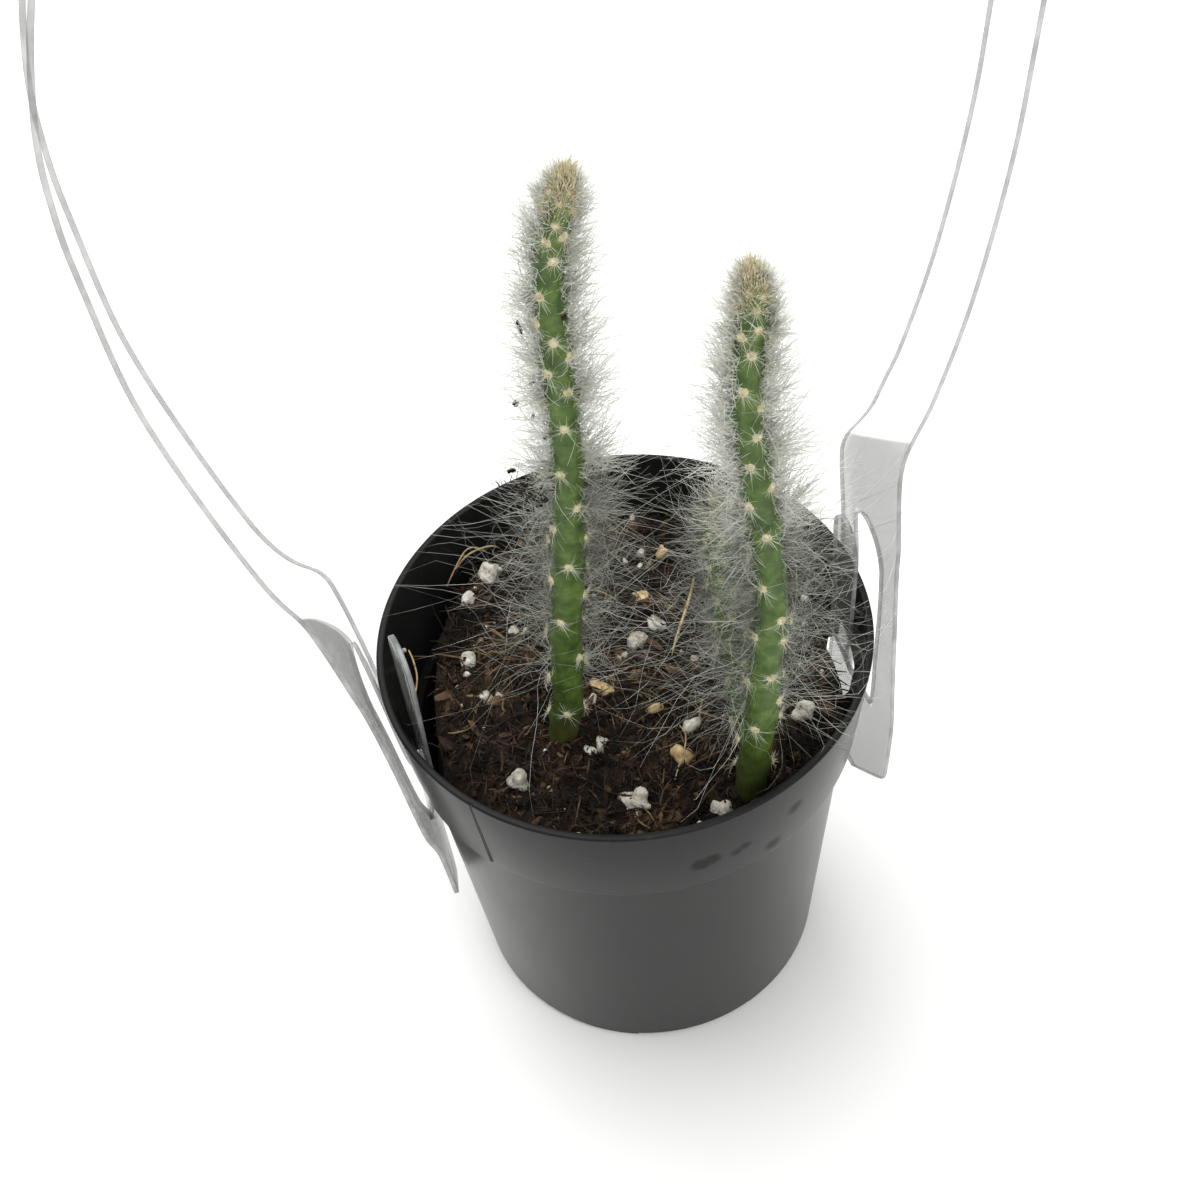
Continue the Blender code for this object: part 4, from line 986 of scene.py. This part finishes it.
def paleSpines(stem, material):
    # Fine stiff needles: a flat star round each areole, a few longer ones, and a dense brush over the tip
    rng = np.random.default_rng(stem["seed"] + 20)
    places, length = areolePlaces(stem)
    spot, out, across, up = atPlace(stem, places, cushion["sunk"])
    each = needles["each"]
    own = np.repeat(np.arange(len(places)), each)
    count = len(own)
    grown = np.clip((length - places[own, 0]) / needles["young"], 0, 1)
    fan = np.tile(fullTurn(each), len(places)) + rng.normal(0, 0.3, count)
    stand = rng.uniform(0.25, 0.8, count) + 0.5 * (1 - grown)
    lines = out[own] * stand[:, None] + across[own] * np.cos(fan)[:, None]
    lines = unit(lines + up[own] * (np.sin(fan) + 0.9 * (1 - grown))[:, None])
    size = rng.uniform(*needles["length"], count)
    longer = np.arange(count) % each >= each - needles["longer"]
    size = np.where(longer, rng.uniform(*needles["longLength"], count), size) * (0.45 + 0.55 * grown)
    centres = bentThreads(spot[own], lines, size, rng.normal(0, 0.04, (count, 3)), 3)
    radii = rng.uniform(*needles["radius"], count)[:, None] * np.array([1.0, 0.85, 0.3])
    # The brush: roots from the top down over the crowded pads, leaning out more the lower they are
    tips = stem["bristles"]
    centre, skin, along, side, front, distance = stemFrame(stem, 0.00025)
    down = stem["brush"] * rng.uniform(0, 1, tips) ** 2.0
    turn = np.arange(tips) * 2.39996  # the golden angle in radians
    dome = crownShare(crown["fall"] - 0.00006 - down)
    outward = np.cos(turn)[:, None] * side[-1] + np.sin(turn)[:, None] * front[-1]
    row = readCurve(distance[-1] - down, distance, centre)
    tipRoots = row + outward * (np.interp(distance[-1] - down, distance, skin) * dome)[:, None]
    lean = np.radians(4 + 38 * np.clip(down / 0.0030, 0, 1) + rng.normal(0, 12, tips))[:, None]
    tipLines = unit(np.cos(lean) * along[-1] + np.sin(lean) * outward)
    tipSize = rng.uniform(*needles["brushLength"], tips) * np.where(rng.uniform(0, 1, tips) < 0.10, 1.9, 1.0)
    tipCentres = bentThreads(tipRoots, tipLines, tipSize, rng.normal(0, 0.10, (tips, 3)), 3)
    tipRadii = rng.uniform(*needles["brushRadius"], tips)[:, None] * np.array([1.0, 0.9, 0.35])
    points, faces = strands(np.vstack([centres, tipCentres]), np.vstack([radii, tipRadii]), 3)
    # The shade runs from the root to the tip of a needle, and further on the crowded young ones
    root = np.concatenate([0.45 * (1 - grown), rng.uniform(0.2, 0.5, tips)])
    end = np.concatenate([0.15 + 0.75 * (1 - grown), rng.uniform(0.4, 1.0, tips)])
    shade = np.repeat(np.linspace(root, end, 3).T.ravel(), 3)
    return meshObject(stem["name"] + "Spines", points, faces, material, shade=shade)


def whiteHairs(stem, material):
    # Soft bent hairs round the sides and back: short, dense and swept up at the tip, longer and looser below
    rng = np.random.default_rng(stem["seed"] + 30)
    places, length = areolePlaces(stem)
    count = stem["hairs"]
    low = 0.016 if stem["buried"] else 0.002
    along = low + (length - low) * rng.uniform(0, 1, count) ** 0.62
    roots = np.column_stack([along, math.pi / 2 + np.clip(rng.normal(0, 1.3, count), -2.4, 2.3)])
    # A third of them spring from the areoles
    near = places[(places[:, 0] > 0.45 * length) & (np.sin(places[:, 1]) > -0.5)]
    third = count // 3
    roots[:third] = near[rng.integers(0, len(near), third)] + rng.normal(0, (0.0005, 0.16), (third, 2))
    roots[:, 0] = np.clip(roots[:, 0], low, length - 0.0003)
    spot, out, across, up = atPlace(stem, roots, softHairs["sunk"])
    height = roots[:, 0] / length
    facing = np.clip((-out[:, 1] - 0.25) / 0.6, 0, 1)
    rise = np.interp(height, (0, 0.3, 0.6, 0.85, 1.0), (-0.10, 0.05, 0.35, 0.65, 1.2))
    tilt = rng.normal(0, 1, (count, 2)) * np.array([0.50, 0.48])
    lines = unit(out + across * tilt[:, :1] + up * (tilt[:, 1:] + rise[:, None]))
    reach = np.interp(height, (0, 0.3, 0.5, 0.75, 0.9, 1.0), stem["reach"])
    size = reach * rng.uniform(0.35, 1.05, count) * (1 - 0.6 * facing) * (1 - 0.14 * (out[:, 0] < 0))
    bends = rng.normal(0, 0.34, (count, 3)) + np.array([0, 0, 0.10])
    steps = softHairs["steps"]
    centres = bentThreads(spot, lines, size, bends, steps)
    wave = np.sin(np.linspace(0, 1, steps)[None, :, None] * rng.uniform(3, 6, (count, 1, 1)))
    centres = centres + wave * rng.normal(0, 0.06, (count, 1, 3)) * size[:, None, None]
    centres[..., 2] = np.maximum(centres[..., 2], soil["height"] + 0.0006)
    thin = np.interp(height, (0.35, 0.65), (0.68, 1.0))
    radii = (rng.uniform(*softHairs["radius"], count) * thin)[:, None] * np.array([1.0, 1.0, 0.85, 0.4])
    # Each areole also has a star of finer hairs that lie over the skin
    star = softHairs["star"]
    n = star * len(places)
    flatSpot, flatOut, flatAcross, flatUp = atPlace(stem, np.repeat(places, star, axis=0), 0.00006)
    fan = rng.uniform(0, 2 * math.pi, (n, 1))
    flatLines = flatOut * rng.uniform(0.10, 0.5, (n, 1)) + flatAcross * np.cos(fan) + flatUp * np.sin(fan)
    flatLines = unit(flatLines)
    flatBends = rng.normal(0, 0.15, (n, 3)) - 0.25 * flatOut
    flat = bentThreads(flatSpot, flatLines, rng.uniform(*softHairs["starLength"], n), flatBends, steps)
    flatRadii = rng.uniform(*softHairs["starRadius"], n)[:, None] * np.array([1.0, 1.0, 0.85, 0.4])
    # The hairs over the pot are thinner than those that stand clear above it, and painted darker grey as shade
    clear = np.clip((spot[:, 2] - softHairs["paintedShadeTop"]) / softHairs["paintedShadeFade"], 0, 1)
    clear = clear * bool(stem["buried"])
    shade = np.concatenate([0.35 * rng.uniform(0, 1, count) + 0.65 * clear, rng.uniform(0.6, 0.9, n)])
    # Painted shade: a low shade value darkens the hairs until they rise out of the pot's shade
    centres = keepInside(np.concatenate([centres, flat]))
    points, faces = strands(centres, np.concatenate([radii, flatRadii]), 3)
    shade = np.repeat(shade, 3 * steps)
    return meshObject(stem["name"] + "Hairs", points, faces, material, shade=shade)


def longHairs(material):
    # Sparse long wavy hairs low on the plant, crossing each other over the pot out to its rim
    rng = np.random.default_rng(91)
    steps = wideHairs["steps"]
    sets = []
    for stem, count, low, high in wideHairs["places"]:
        roots = np.column_stack([rng.uniform(low, high, count), rng.uniform(-0.5, math.pi + 0.5, count)])
        spot, out, across, up = atPlace(stem, roots, softHairs["sunk"])
        lines = unit(out + across * rng.normal(0, 0.7, (count, 1)) + up * rng.normal(0.05, 0.45, (count, 1)))
        size = rng.gamma(7.0, 0.00100, count) + 0.002
        bends = rng.normal(0, 0.50, (count, 3)) - np.array([0, 0, 0.12])
        centres = bentThreads(spot, lines, size, bends, steps)
        wave = np.sin(np.linspace(0, 1, steps)[None, :, None] * rng.uniform(4, 11, (count, 1, 1)))
        sets.append(centres + wave * rng.normal(0, 0.075, (count, 1, 3)) * size[:, None, None])
    centres = np.concatenate(sets)
    centres[..., 2] = np.maximum(centres[..., 2], soil["height"] + 0.0006)
    radius = np.maximum(np.hypot(centres[..., 0], centres[..., 1]), 1e-9)
    centres[..., :2] *= np.minimum(1, wideHairs["farthest"] / radius)[..., None]
    taper = np.array([1, 1, 1, 1, 0.9, 0.8, 0.6, 0.3])
    radii = rng.uniform(*wideHairs["radius"], len(centres))[:, None] * taper
    points, faces = strands(keepInside(centres), radii, 3)
    shade = np.repeat(rng.uniform(0, 0.7, len(centres)), 3 * steps)
    return meshObject("longHairs", points, faces, material, shade=shade)


def woolMaterial():
    # Areole felt: cream wool, quite matt
    material, tree = startMaterial("areoleFelt", {"Roughness": 0.9, "Sheen Weight": 0.3})
    place = addNode(tree, "TexCoord", {}).outputs["Object"]
    fluff = addNode(tree, "TexNoise", {"Scale": 1800.0, "Detail": 3.0}, {"Vector": place})
    addNode(
        tree, "ValToRGB", {"stops": [(0.3, "b0a67a"), (0.6, "d8d0aa"), (0.85, "ece6cc")]},
        {"Fac": fluff.outputs["Fac"]}, "Base Color",
    )
    return material


def spineMaterial():
    # Young spines: horny and a little translucent, cream on the stem and tan at the tip
    material, tree = startMaterial("paleSpine", {"Roughness": 0.4, "IOR": 1.5})
    own = addNode(tree, "Attribute", {"attribute_name": "shade"})
    addNode(
        tree, "ValToRGB", {"stops": [(0.1, "e0dfcc"), (0.45, "d2caa8"), (0.75, "c8bb96"), (1.0, "a3876a")]},
        {"Fac": own.outputs["Fac"]}, "Base Color",
    )
    return material


def hairMaterial():
    # Fine white plant hair, thin enough to look grey: soft and matt, each hair a little lighter or darker
    material, tree = startMaterial("whitePlantHair", {"Roughness": 0.6, "IOR": 1.45})
    own = addNode(tree, "Attribute", {"attribute_name": "shade"})
    place = addNode(tree, "TexCoord", {}).outputs["Object"]
    change = addNode(tree, "TexNoise", {"Scale": 300.0, "Detail": 2.0}, {"Vector": place})
    both = addNode(
        tree, "Math", {"operation": "MULTIPLY_ADD", 1: 0.6}, {0: own.outputs["Fac"], 2: change.outputs["Fac"]}
    )
    # The darkest greys of this ramp are painted shade, reached by the hairs over the pot
    addNode(
        tree, "ValToRGB", {"stops": [(0.42, "50534a"), (0.62, "7b7e74"), (0.85, "c3c5ba"), (1.0, "dcddd4")]},
        {"Fac": both.outputs[0]}, "Base Color",
    )
    return material


# Dry bits caught in the left stem's hairs. A flake is its place in mm and its half sizes in hundredths of a mm
caught = {
    "flakes": (
        (-7.4, -7.5, 121.8, 26, 14, 130), (-6.9, -7.5, 114.0, 60, 14, 22), (-8.9, -7.5, 111.3, 40, 14, 60),
        (-7.3, -7.5, 109.2, 24, 14, 50), (-6.2, -8.6, 106.9, 34, 20, 45), (-10.5, -7.0, 101.0, 70, 30, 40),
        (-9.4, -7.5, 99.9, 45, 30, 60), (-8.7, -8.5, 98.2, 60, 30, 30), (-7.1, -9.2, 98.0, 50, 24, 35),
        (-7.9, -8.8, 96.9, 55, 24, 24), (-2.7, -9.0, 123.7, 40, 20, 50), (-6.0, -8.8, 101.0, 30, 20, 40),
    ),
    "dark": 4,  # the first flakes are nearly black, and the others brown
    "threads": 46,
    "middle": (-0.0090, -0.0078, 0.0988),
    "spread": (0.0014, 0.0006, 0.0011),
    "length": (0.0008, 0.0022),
    "radius": (0.00004, 0.00011),
}


def trappedBits(material):
    # Flat dented balls, each tilted a little, and curly threads of litter round one place near the rim
    bits = np.array(caught["flakes"]) / ([1e3] * 3 + [1e5] * 3)
    ball, faces = ballTemplate(2)
    rng = np.random.default_rng(61)
    dent = 1 + rng.normal(0, 0.22, (len(bits), len(ball), 1))
    turn = rng.uniform(-0.5, 0.5, (len(bits), 1))
    flat = ball[None] * dent * bits[:, None, 3:] * 0.75
    lean = np.stack([
        flat[..., 0] * np.cos(turn) - flat[..., 2] * np.sin(turn), flat[..., 1],
        flat[..., 0] * np.sin(turn) + flat[..., 2] * np.cos(turn),
    ], -1)
    points = (lean + bits[:, None, :3]).reshape(-1, 3)
    shift = (np.arange(len(bits)) * len(ball))[:, None, None]
    shade = np.repeat(np.where(np.arange(len(bits)) < caught["dark"], 0.05, 0.55), len(ball))
    litter = caught["threads"]
    roots = np.array(caught["middle"]) + rng.normal(0, caught["spread"], (litter, 3))
    lines = unit(rng.normal(size=(litter, 3)))
    length = rng.uniform(*caught["length"], litter)
    centres = bentThreads(roots, lines, length, rng.normal(0, 0.5, (litter, 3)), 5)
    radii = rng.uniform(*caught["radius"], litter)[:, None] * np.array([0.7, 1, 1, 0.8, 0.4])
    threads, threadFaces = strands(centres, radii, 3)
    sets = [(faces[None] + shift).reshape(-1, 3)] + [part + len(points) for part in threadFaces]
    shade = np.concatenate([shade, np.repeat(rng.uniform(0.2, 0.9, litter), 15)])
    points = np.vstack([points, threads])
    return meshObject("trappedBits", points, sets, material, smooth=False, shade=shade)


skinMaterial = stemSkinMaterial()
felt = woolMaterial()
needle = spineMaterial()
hair = hairMaterial()
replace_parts(stemSkin(leftStem, skinMaterial), "stem_left")
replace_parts(stemSkin(rightStem, skinMaterial), "stem_right")
stemSkin(sideBranch, skinMaterial)
for stem in (leftStem, rightStem, sideBranch):
    woolCushions(stem, felt)
    paleSpines(stem, needle)
    whiteHairs(stem, hair)
longHairs(hair)
trappedBits(peat)
print("stems finished")


# Hanger. Distances along it count from the tip of each tab

hanger = {
    "sheet": 0.0006,
    "strapHalf": 0.00495,
    "tabHalf": 0.0097,
    "pointHalf": 0.0011,
    "pointSlope": (0.0016, 0.0003),  # how much narrower than the tab the point's two last corners are
    "pointLength": 0.0070,
    "cornerRound": 0.0012,
    "slotStart": 0.0160,
    "slotEnd": 0.0475,
    "slotLow": 0.0034,
    "slotHigh": 0.0047,
    "slit": 0.0008,
    "shoulder": (0.0505, 0.0645),
    "legColumns": 7,
    "tongueColumns": 5,
    "strapRows": 240,
    # From the left tip to the right one: x, y, z and the turn of the strip's level width in degrees
    "route": (
        (-0.0270, -0.0093, 0.0268, 101.0), (-0.0283, -0.0089, 0.0426, 101.0), (-0.0297, -0.0088, 0.0483, 101.0),
        (-0.0315, -0.0085, 0.0633, 101.0), (-0.0329, -0.0086, 0.0738, 101.0), (-0.0341, -0.0091, 0.0800, 101.0),
        (-0.0364, -0.0100, 0.0872, 101.5), (-0.0393, -0.0110, 0.0951, 102.0), (-0.0430, -0.0124, 0.1118, 102.0),
        (-0.0454, -0.0134, 0.1265, 102.0), (-0.0460, -0.0140, 0.1403, 102.0), (-0.0459, -0.0145, 0.1490, 102.0),
        (-0.0449, -0.0143, 0.1580, 102.0), (-0.0414, -0.0136, 0.1700, 102.0), (-0.0355, -0.0123, 0.1830, 102.0),
        (-0.0270, -0.0105, 0.1970, 102.0), (-0.0145, -0.0078, 0.2100, 102.0), (0.0010, -0.0045, 0.2180, 102.0),
        (0.0165, -0.0013, 0.2160, 102.0), (0.0300, 0.0016, 0.2050, 102.0), (0.0390, 0.0035, 0.1890, 102.0),
        (0.0431, 0.0044, 0.1720, 102.0), (0.0438, 0.0046, 0.1580, 102.0), (0.0431, 0.0045, 0.1420, 102.0),
        (0.0422, 0.0046, 0.1294, 102.0), (0.0398, 0.0046, 0.1127, 102.0), (0.0367, 0.0045, 0.0990, 102.0),
        (0.0346, 0.0045, 0.0925, 102.0), (0.0329, 0.0046, 0.0861, 102.0), (0.0320, 0.0048, 0.0775, 101.5),
        (0.03235, 0.00435, 0.0633, 100.5), (0.0321, 0.0037, 0.0530, 103.0), (0.0319, 0.0031, 0.0426, 105.0),
        (0.0308, 0.0020, 0.0266, 105.0),
    ),
    "leftTongue": (
        (-0.0271, -0.0098, 0.0525, 106.0), (-0.0271, -0.0098, 0.0600, 108.0), (-0.0271, -0.0097, 0.0765, 110.0),
    ),
    "rightTongue": (
        (0.0287, 0.0026, 0.0525, 100.0), (0.0288, 0.0026, 0.0600, 100.0), (0.0289, 0.0026, 0.0765, 100.0),
    ),
}


def acrossStrip(rows, offsets):
    # A row of points over the strip's width at each row's middle, along its own level direction
    turn = np.radians(rows[:, 3])
    across = np.column_stack([np.cos(turn), np.sin(turn), np.zeros(len(rows))])
    return rows[:, None, :3] + across[:, None, :] * offsets[:, :, None]


def roundShares(count):
    # From 0 to 1 in steps that get shorter, like the heights of a quarter circle
    return np.sin(np.linspace(0, math.pi / 2, count))


def roundEnd(half, past):
    # Square of the half width of a strip that ends in a half circle, at a distance past the circle's middle
    return half ** 2 - np.maximum(past, 0) ** 2


def gridFaces(rows, columns, first):
    # Quads between neighbouring rows and columns of points
    i, j = np.meshgrid(np.arange(rows - 1), np.arange(columns - 1), indexing="ij")
    corner = first + i * columns + j
    return np.stack([corner, corner + 1, corner + columns + 1, corner + columns], -1).reshape(-1, 4)


def hangerSheet(material):
    # Grids of points across the strip, joined at equal points: for each tab its point, the two legs beside
    # its slot and its tongue, then the strap between the tabs. The thickness is added last
    h = hanger
    curve, distance = smoothCurve(h["route"], 0.0004)
    length = distance[-1]

    def addGrid(places, offsets):
        grids.append(acrossStrip(readCurve(places, distance, curve), offsets))

    def halfWidth(tip):
        # Blunt point, straight sides, and a smooth shoulder up to the strap
        low = h["pointLength"]
        places = (0, low - h["cornerRound"], low, low + h["cornerRound"])
        first, second = h["pointSlope"]
        widths = (h["pointHalf"], h["tabHalf"] - first, h["tabHalf"] - second, h["tabHalf"])
        half = np.interp(tip, places, widths)
        share = np.clip((tip - h["shoulder"][0]) / (h["shoulder"][1] - h["shoulder"][0]), 0, 1)
        soft = share * share * (3 - 2 * share)
        return half * (1 - soft) + h["strapHalf"] * soft

    straight = h["slotEnd"] - h["slotHigh"]
    grids = []
    legs = h["legColumns"]
    for sign, tongueRoute in ((1, h["leftTongue"]), (-1, h["rightTongue"])):
        place = (lambda tip: tip) if sign > 0 else (lambda tip: length - tip)
        low = h["slotLow"] / h["tabHalf"]
        root = (h["slotLow"] - h["slit"]) / h["tabHalf"]
        ease = roundShares(10) * h["cornerRound"] * 2
        corner = h["pointLength"] - h["cornerRound"]
        rest = np.linspace(h["pointLength"] + 0.0022, h["slotStart"], 7)
        point = np.concatenate([np.linspace(0, corner, 7)[:-1], corner + ease, rest])
        middle = np.linspace(-root, root, h["tongueColumns"])
        shares = np.concatenate([np.linspace(-1, -low, legs), middle, np.linspace(low, 1, legs)])
        addGrid(place(point), halfWidth(point)[:, None] * shares)
        tips = np.linspace(h["slotStart"], straight, 30)
        tips = np.concatenate([tips, straight + h["slotHigh"] * roundShares(15)[1:]])
        outer = halfWidth(tips)[:, None]
        inner = np.interp(tips, (h["slotStart"], straight), (h["slotLow"], h["slotHigh"]))
        inner = np.sqrt(np.maximum(roundEnd(inner, tips - straight), 0))[:, None]
        blend = np.linspace(0, 1, legs)[None]
        addGrid(place(tips), -(outer + (inner - outer) * blend))
        addGrid(place(tips), inner + (outer - inner) * blend)
        start = readCurve(np.array([place(h["slotStart"])]), distance, curve)
        path, run = smoothCurve(np.vstack([start, tongueRoute]), 0.0003)
        high = h["slotHigh"] - h["slit"]
        reach = h["slotEnd"] - h["slotStart"]
        bend = 1 - high / reach
        share = np.concatenate([np.linspace(0, bend, 26), bend + (1 - bend) * roundShares(12)[1:]])
        width = np.interp(share * reach, (0, reach - high), (h["slotLow"] - h["slit"], high))
        width = np.sqrt(np.maximum(roundEnd(width, share * reach - (reach - high)), 4e-8))
        rows = readCurve(share * run[-1], run, path)
        grids.append(acrossStrip(rows, width[:, None] * np.linspace(-1, 1, h["tongueColumns"])))
    strap = np.linspace(h["slotEnd"], length - h["slotEnd"], h["strapRows"])
    half = halfWidth(np.minimum(strap, length - strap))[:, None]
    addGrid(strap, half * np.linspace(-1, 1, 2 * legs - 1))
    points = np.vstack([grid.reshape(-1, 3) for grid in grids])
    first = np.cumsum([0] + [grid.shape[0] * grid.shape[1] for grid in grids])
    faces = np.vstack([gridFaces(grid.shape[0], grid.shape[1], start) for grid, start in zip(grids, first)])
    piece = meshObject("hangerSheet", points, [faces], material)
    work = bmesh.new()
    work.from_mesh(piece.data)
    bmesh.ops.remove_doubles(work, verts=work.verts, dist=1e-6)
    bmesh.ops.recalc_face_normals(work, faces=work.faces)
    work.to_mesh(piece.data)
    work.free()
    thick = piece.modifiers.new("thick", "SOLIDIFY")
    thick.thickness = h["sheet"]
    thick.offset = 0.0
    return piece


def clearSheetMaterial():
    # Clear polyester sheet: nearly invisible, with a glossy face; below a sharp line the tabs carry a painted
    # grey reflection
    material, tree = startMaterial("clearPolyester", {"Roughness": 0.12, "IOR": 1.5})
    place = addNode(tree, "TexCoord", {}).outputs["Object"]
    parts = addNode(tree, "SeparateXYZ", {}, {0: place})
    # The line's height is 0.0920 - 0.79 y on the right tab, and 0.0560 - 3.42 y - 81.9 y^2 on the left one
    rightLine = addNode(
        tree, "Math", {"operation": "MULTIPLY_ADD", 1: -0.79, 2: 0.0920}, {0: parts.outputs["Y"]}
    )
    slope = addNode(tree, "Math", {"operation": "MULTIPLY_ADD", 1: -81.9, 2: -3.42}, {0: parts.outputs["Y"]})
    leftLine = addNode(
        tree, "Math", {"operation": "MULTIPLY_ADD", 2: 0.0560}, {0: slope.outputs[0], 1: parts.outputs["Y"]}
    )
    rightSide = addNode(tree, "Math", {"operation": "GREATER_THAN", 1: 0.0}, {0: parts.outputs["X"]})
    line = addNode(
        tree, "Mix", {"data_type": "FLOAT"},
        {0: rightSide.outputs[0], 2: leftLine.outputs[0], 3: rightLine.outputs[0]},
    )
    below = addNode(tree, "Math", {"operation": "SUBTRACT"}, {0: line.outputs[0], 1: parts.outputs["Z"]})
    # Below the line the sheet turns grey and less clear: this is painted reflection
    paintedReflection = addNode(tree, "MapRange", {"From Min": -0.0002, "From Max": 0.0002}, {"Value": below.outputs[0]})
    # The painted reflection is stronger on the left tab, which is seen at a grazing angle
    side = addNode(
        tree, "MapRange", {"From Min": -0.01, "From Max": 0.01, "To Min": 0.50, "To Max": 0.34},
        {"Value": parts.outputs["X"]},
    )
    paintedReflectionAlpha = addNode(
        tree, "Math", {"operation": "MULTIPLY_ADD", 2: 0.04}, {0: paintedReflection.outputs[0], 1: side.outputs[0]}
    )
    haze = addNode(tree, "TexNoise", {"Scale": 90.0, "Detail": 3.0}, {"Vector": place})
    addNode(
        tree, "Math", {"operation": "MULTIPLY_ADD", 1: 0.06}, {0: haze.outputs["Fac"], 2: paintedReflectionAlpha.outputs[0]},
        "Alpha",
    )
    addNode(
        # The grey below the line is painted reflection
        tree, "Mix", {"data_type": "RGBA", 6: hexColour("eef1ef"), 7: hexColour("7d807d")},
        {0: paintedReflection.outputs[0]}, "Base Color",
    )
    return material


def cutEdgeMaterial():
    # The die-cut edge of the clear sheet, which gathers the light and looks grey
    material, tree = startMaterial("polyesterCutEdge", {"Roughness": 0.35, "Alpha": 0.75})
    place = addNode(tree, "TexCoord", {}).outputs["Object"]
    wear = addNode(tree, "TexNoise", {"Scale": 300.0, "Detail": 2.0}, {"Vector": place})
    addNode(
        tree, "ValToRGB", {"stops": [(0.35, "6f726f"), (0.7, "a9aca9")]}, {"Fac": wear.outputs["Fac"]},
        "Base Color",
    )
    return material


hangerPiece = hangerSheet(clearSheetMaterial())
hangerPiece.data.materials.append(cutEdgeMaterial())
hangerPiece.modifiers["thick"].material_offset_rim = 1
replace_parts(hangerPiece, "clear_hanger")
print("hanger finished")


# Floor, lights and camera

def paleFloor():
    # Matt white photographer's card
    material = startMaterial("whiteCard", {"Base Color": "f4f4f2", "Roughness": 0.8})[0]
    mesh = bpy.data.meshes.new("floor")
    mesh.from_pydata([(-2, -2, 0), (2, -2, 0), (2, 2, 0), (-2, 2, 0)], [], [(0, 1, 2, 3)])
    mesh.materials.append(material)
    floor = bpy.data.objects.new("floor", mesh)
    bpy.context.scene.collection.objects.link(floor)


def softLight(name, place, size, power):
    # A round area light that looks at the pot
    data = bpy.data.lights.new(name, "AREA")
    data.shape = "DISK"
    data.size = size
    data.energy = power
    lamp = bpy.data.objects.new(name, data)
    bpy.context.scene.collection.objects.link(lamp)
    back = unit(np.array(place) - np.array([0, 0, 0.05]))
    right = unit(np.cross((0, 0, 1.0), back))
    turn = Matrix(np.column_stack([right, np.cross(back, right), back]).tolist()).to_4x4()
    lamp.matrix_world = Matrix.Translation(place) @ turn


def setCamera():
    # Place and directions fitted to the photo's view: right, up and back
    right = np.array([0.99496542, -0.06840714, -0.07324117])
    up = np.array([0.09961158, 0.75535301, 0.64770315])
    forward = np.array([-0.01103393, 0.65172005, -0.75837935])
    data = bpy.data.cameras.new("camera")
    data.sensor_width = 36
    data.lens = 54
    data.clip_start = 0.01
    camera = bpy.data.objects.new("camera", data)
    bpy.context.scene.collection.objects.link(camera)
    turn = Matrix(np.column_stack([right, up, -forward]).tolist()).to_4x4()
    camera.matrix_world = Matrix.Translation((0, -0.1476442, 0.2414089)) @ turn
    bpy.context.scene.camera = camera


paleFloor()
softLight("topLight", (-0.15, 0.25, 0.9), 0.9, 8.0)
softLight("frontLight", (0.35, -0.6, 0.7), 0.7, 3.4)
world = bpy.data.worlds.new("paleRoom")
world.use_nodes = True
world.node_tree.nodes["Background"].inputs["Color"].default_value = (1, 1, 1, 1)
world.node_tree.nodes["Background"].inputs["Strength"].default_value = 0.66
bpy.context.scene.world = world
bpy.context.scene.view_settings.view_transform = "Standard"
setCamera()
print("stage finished")
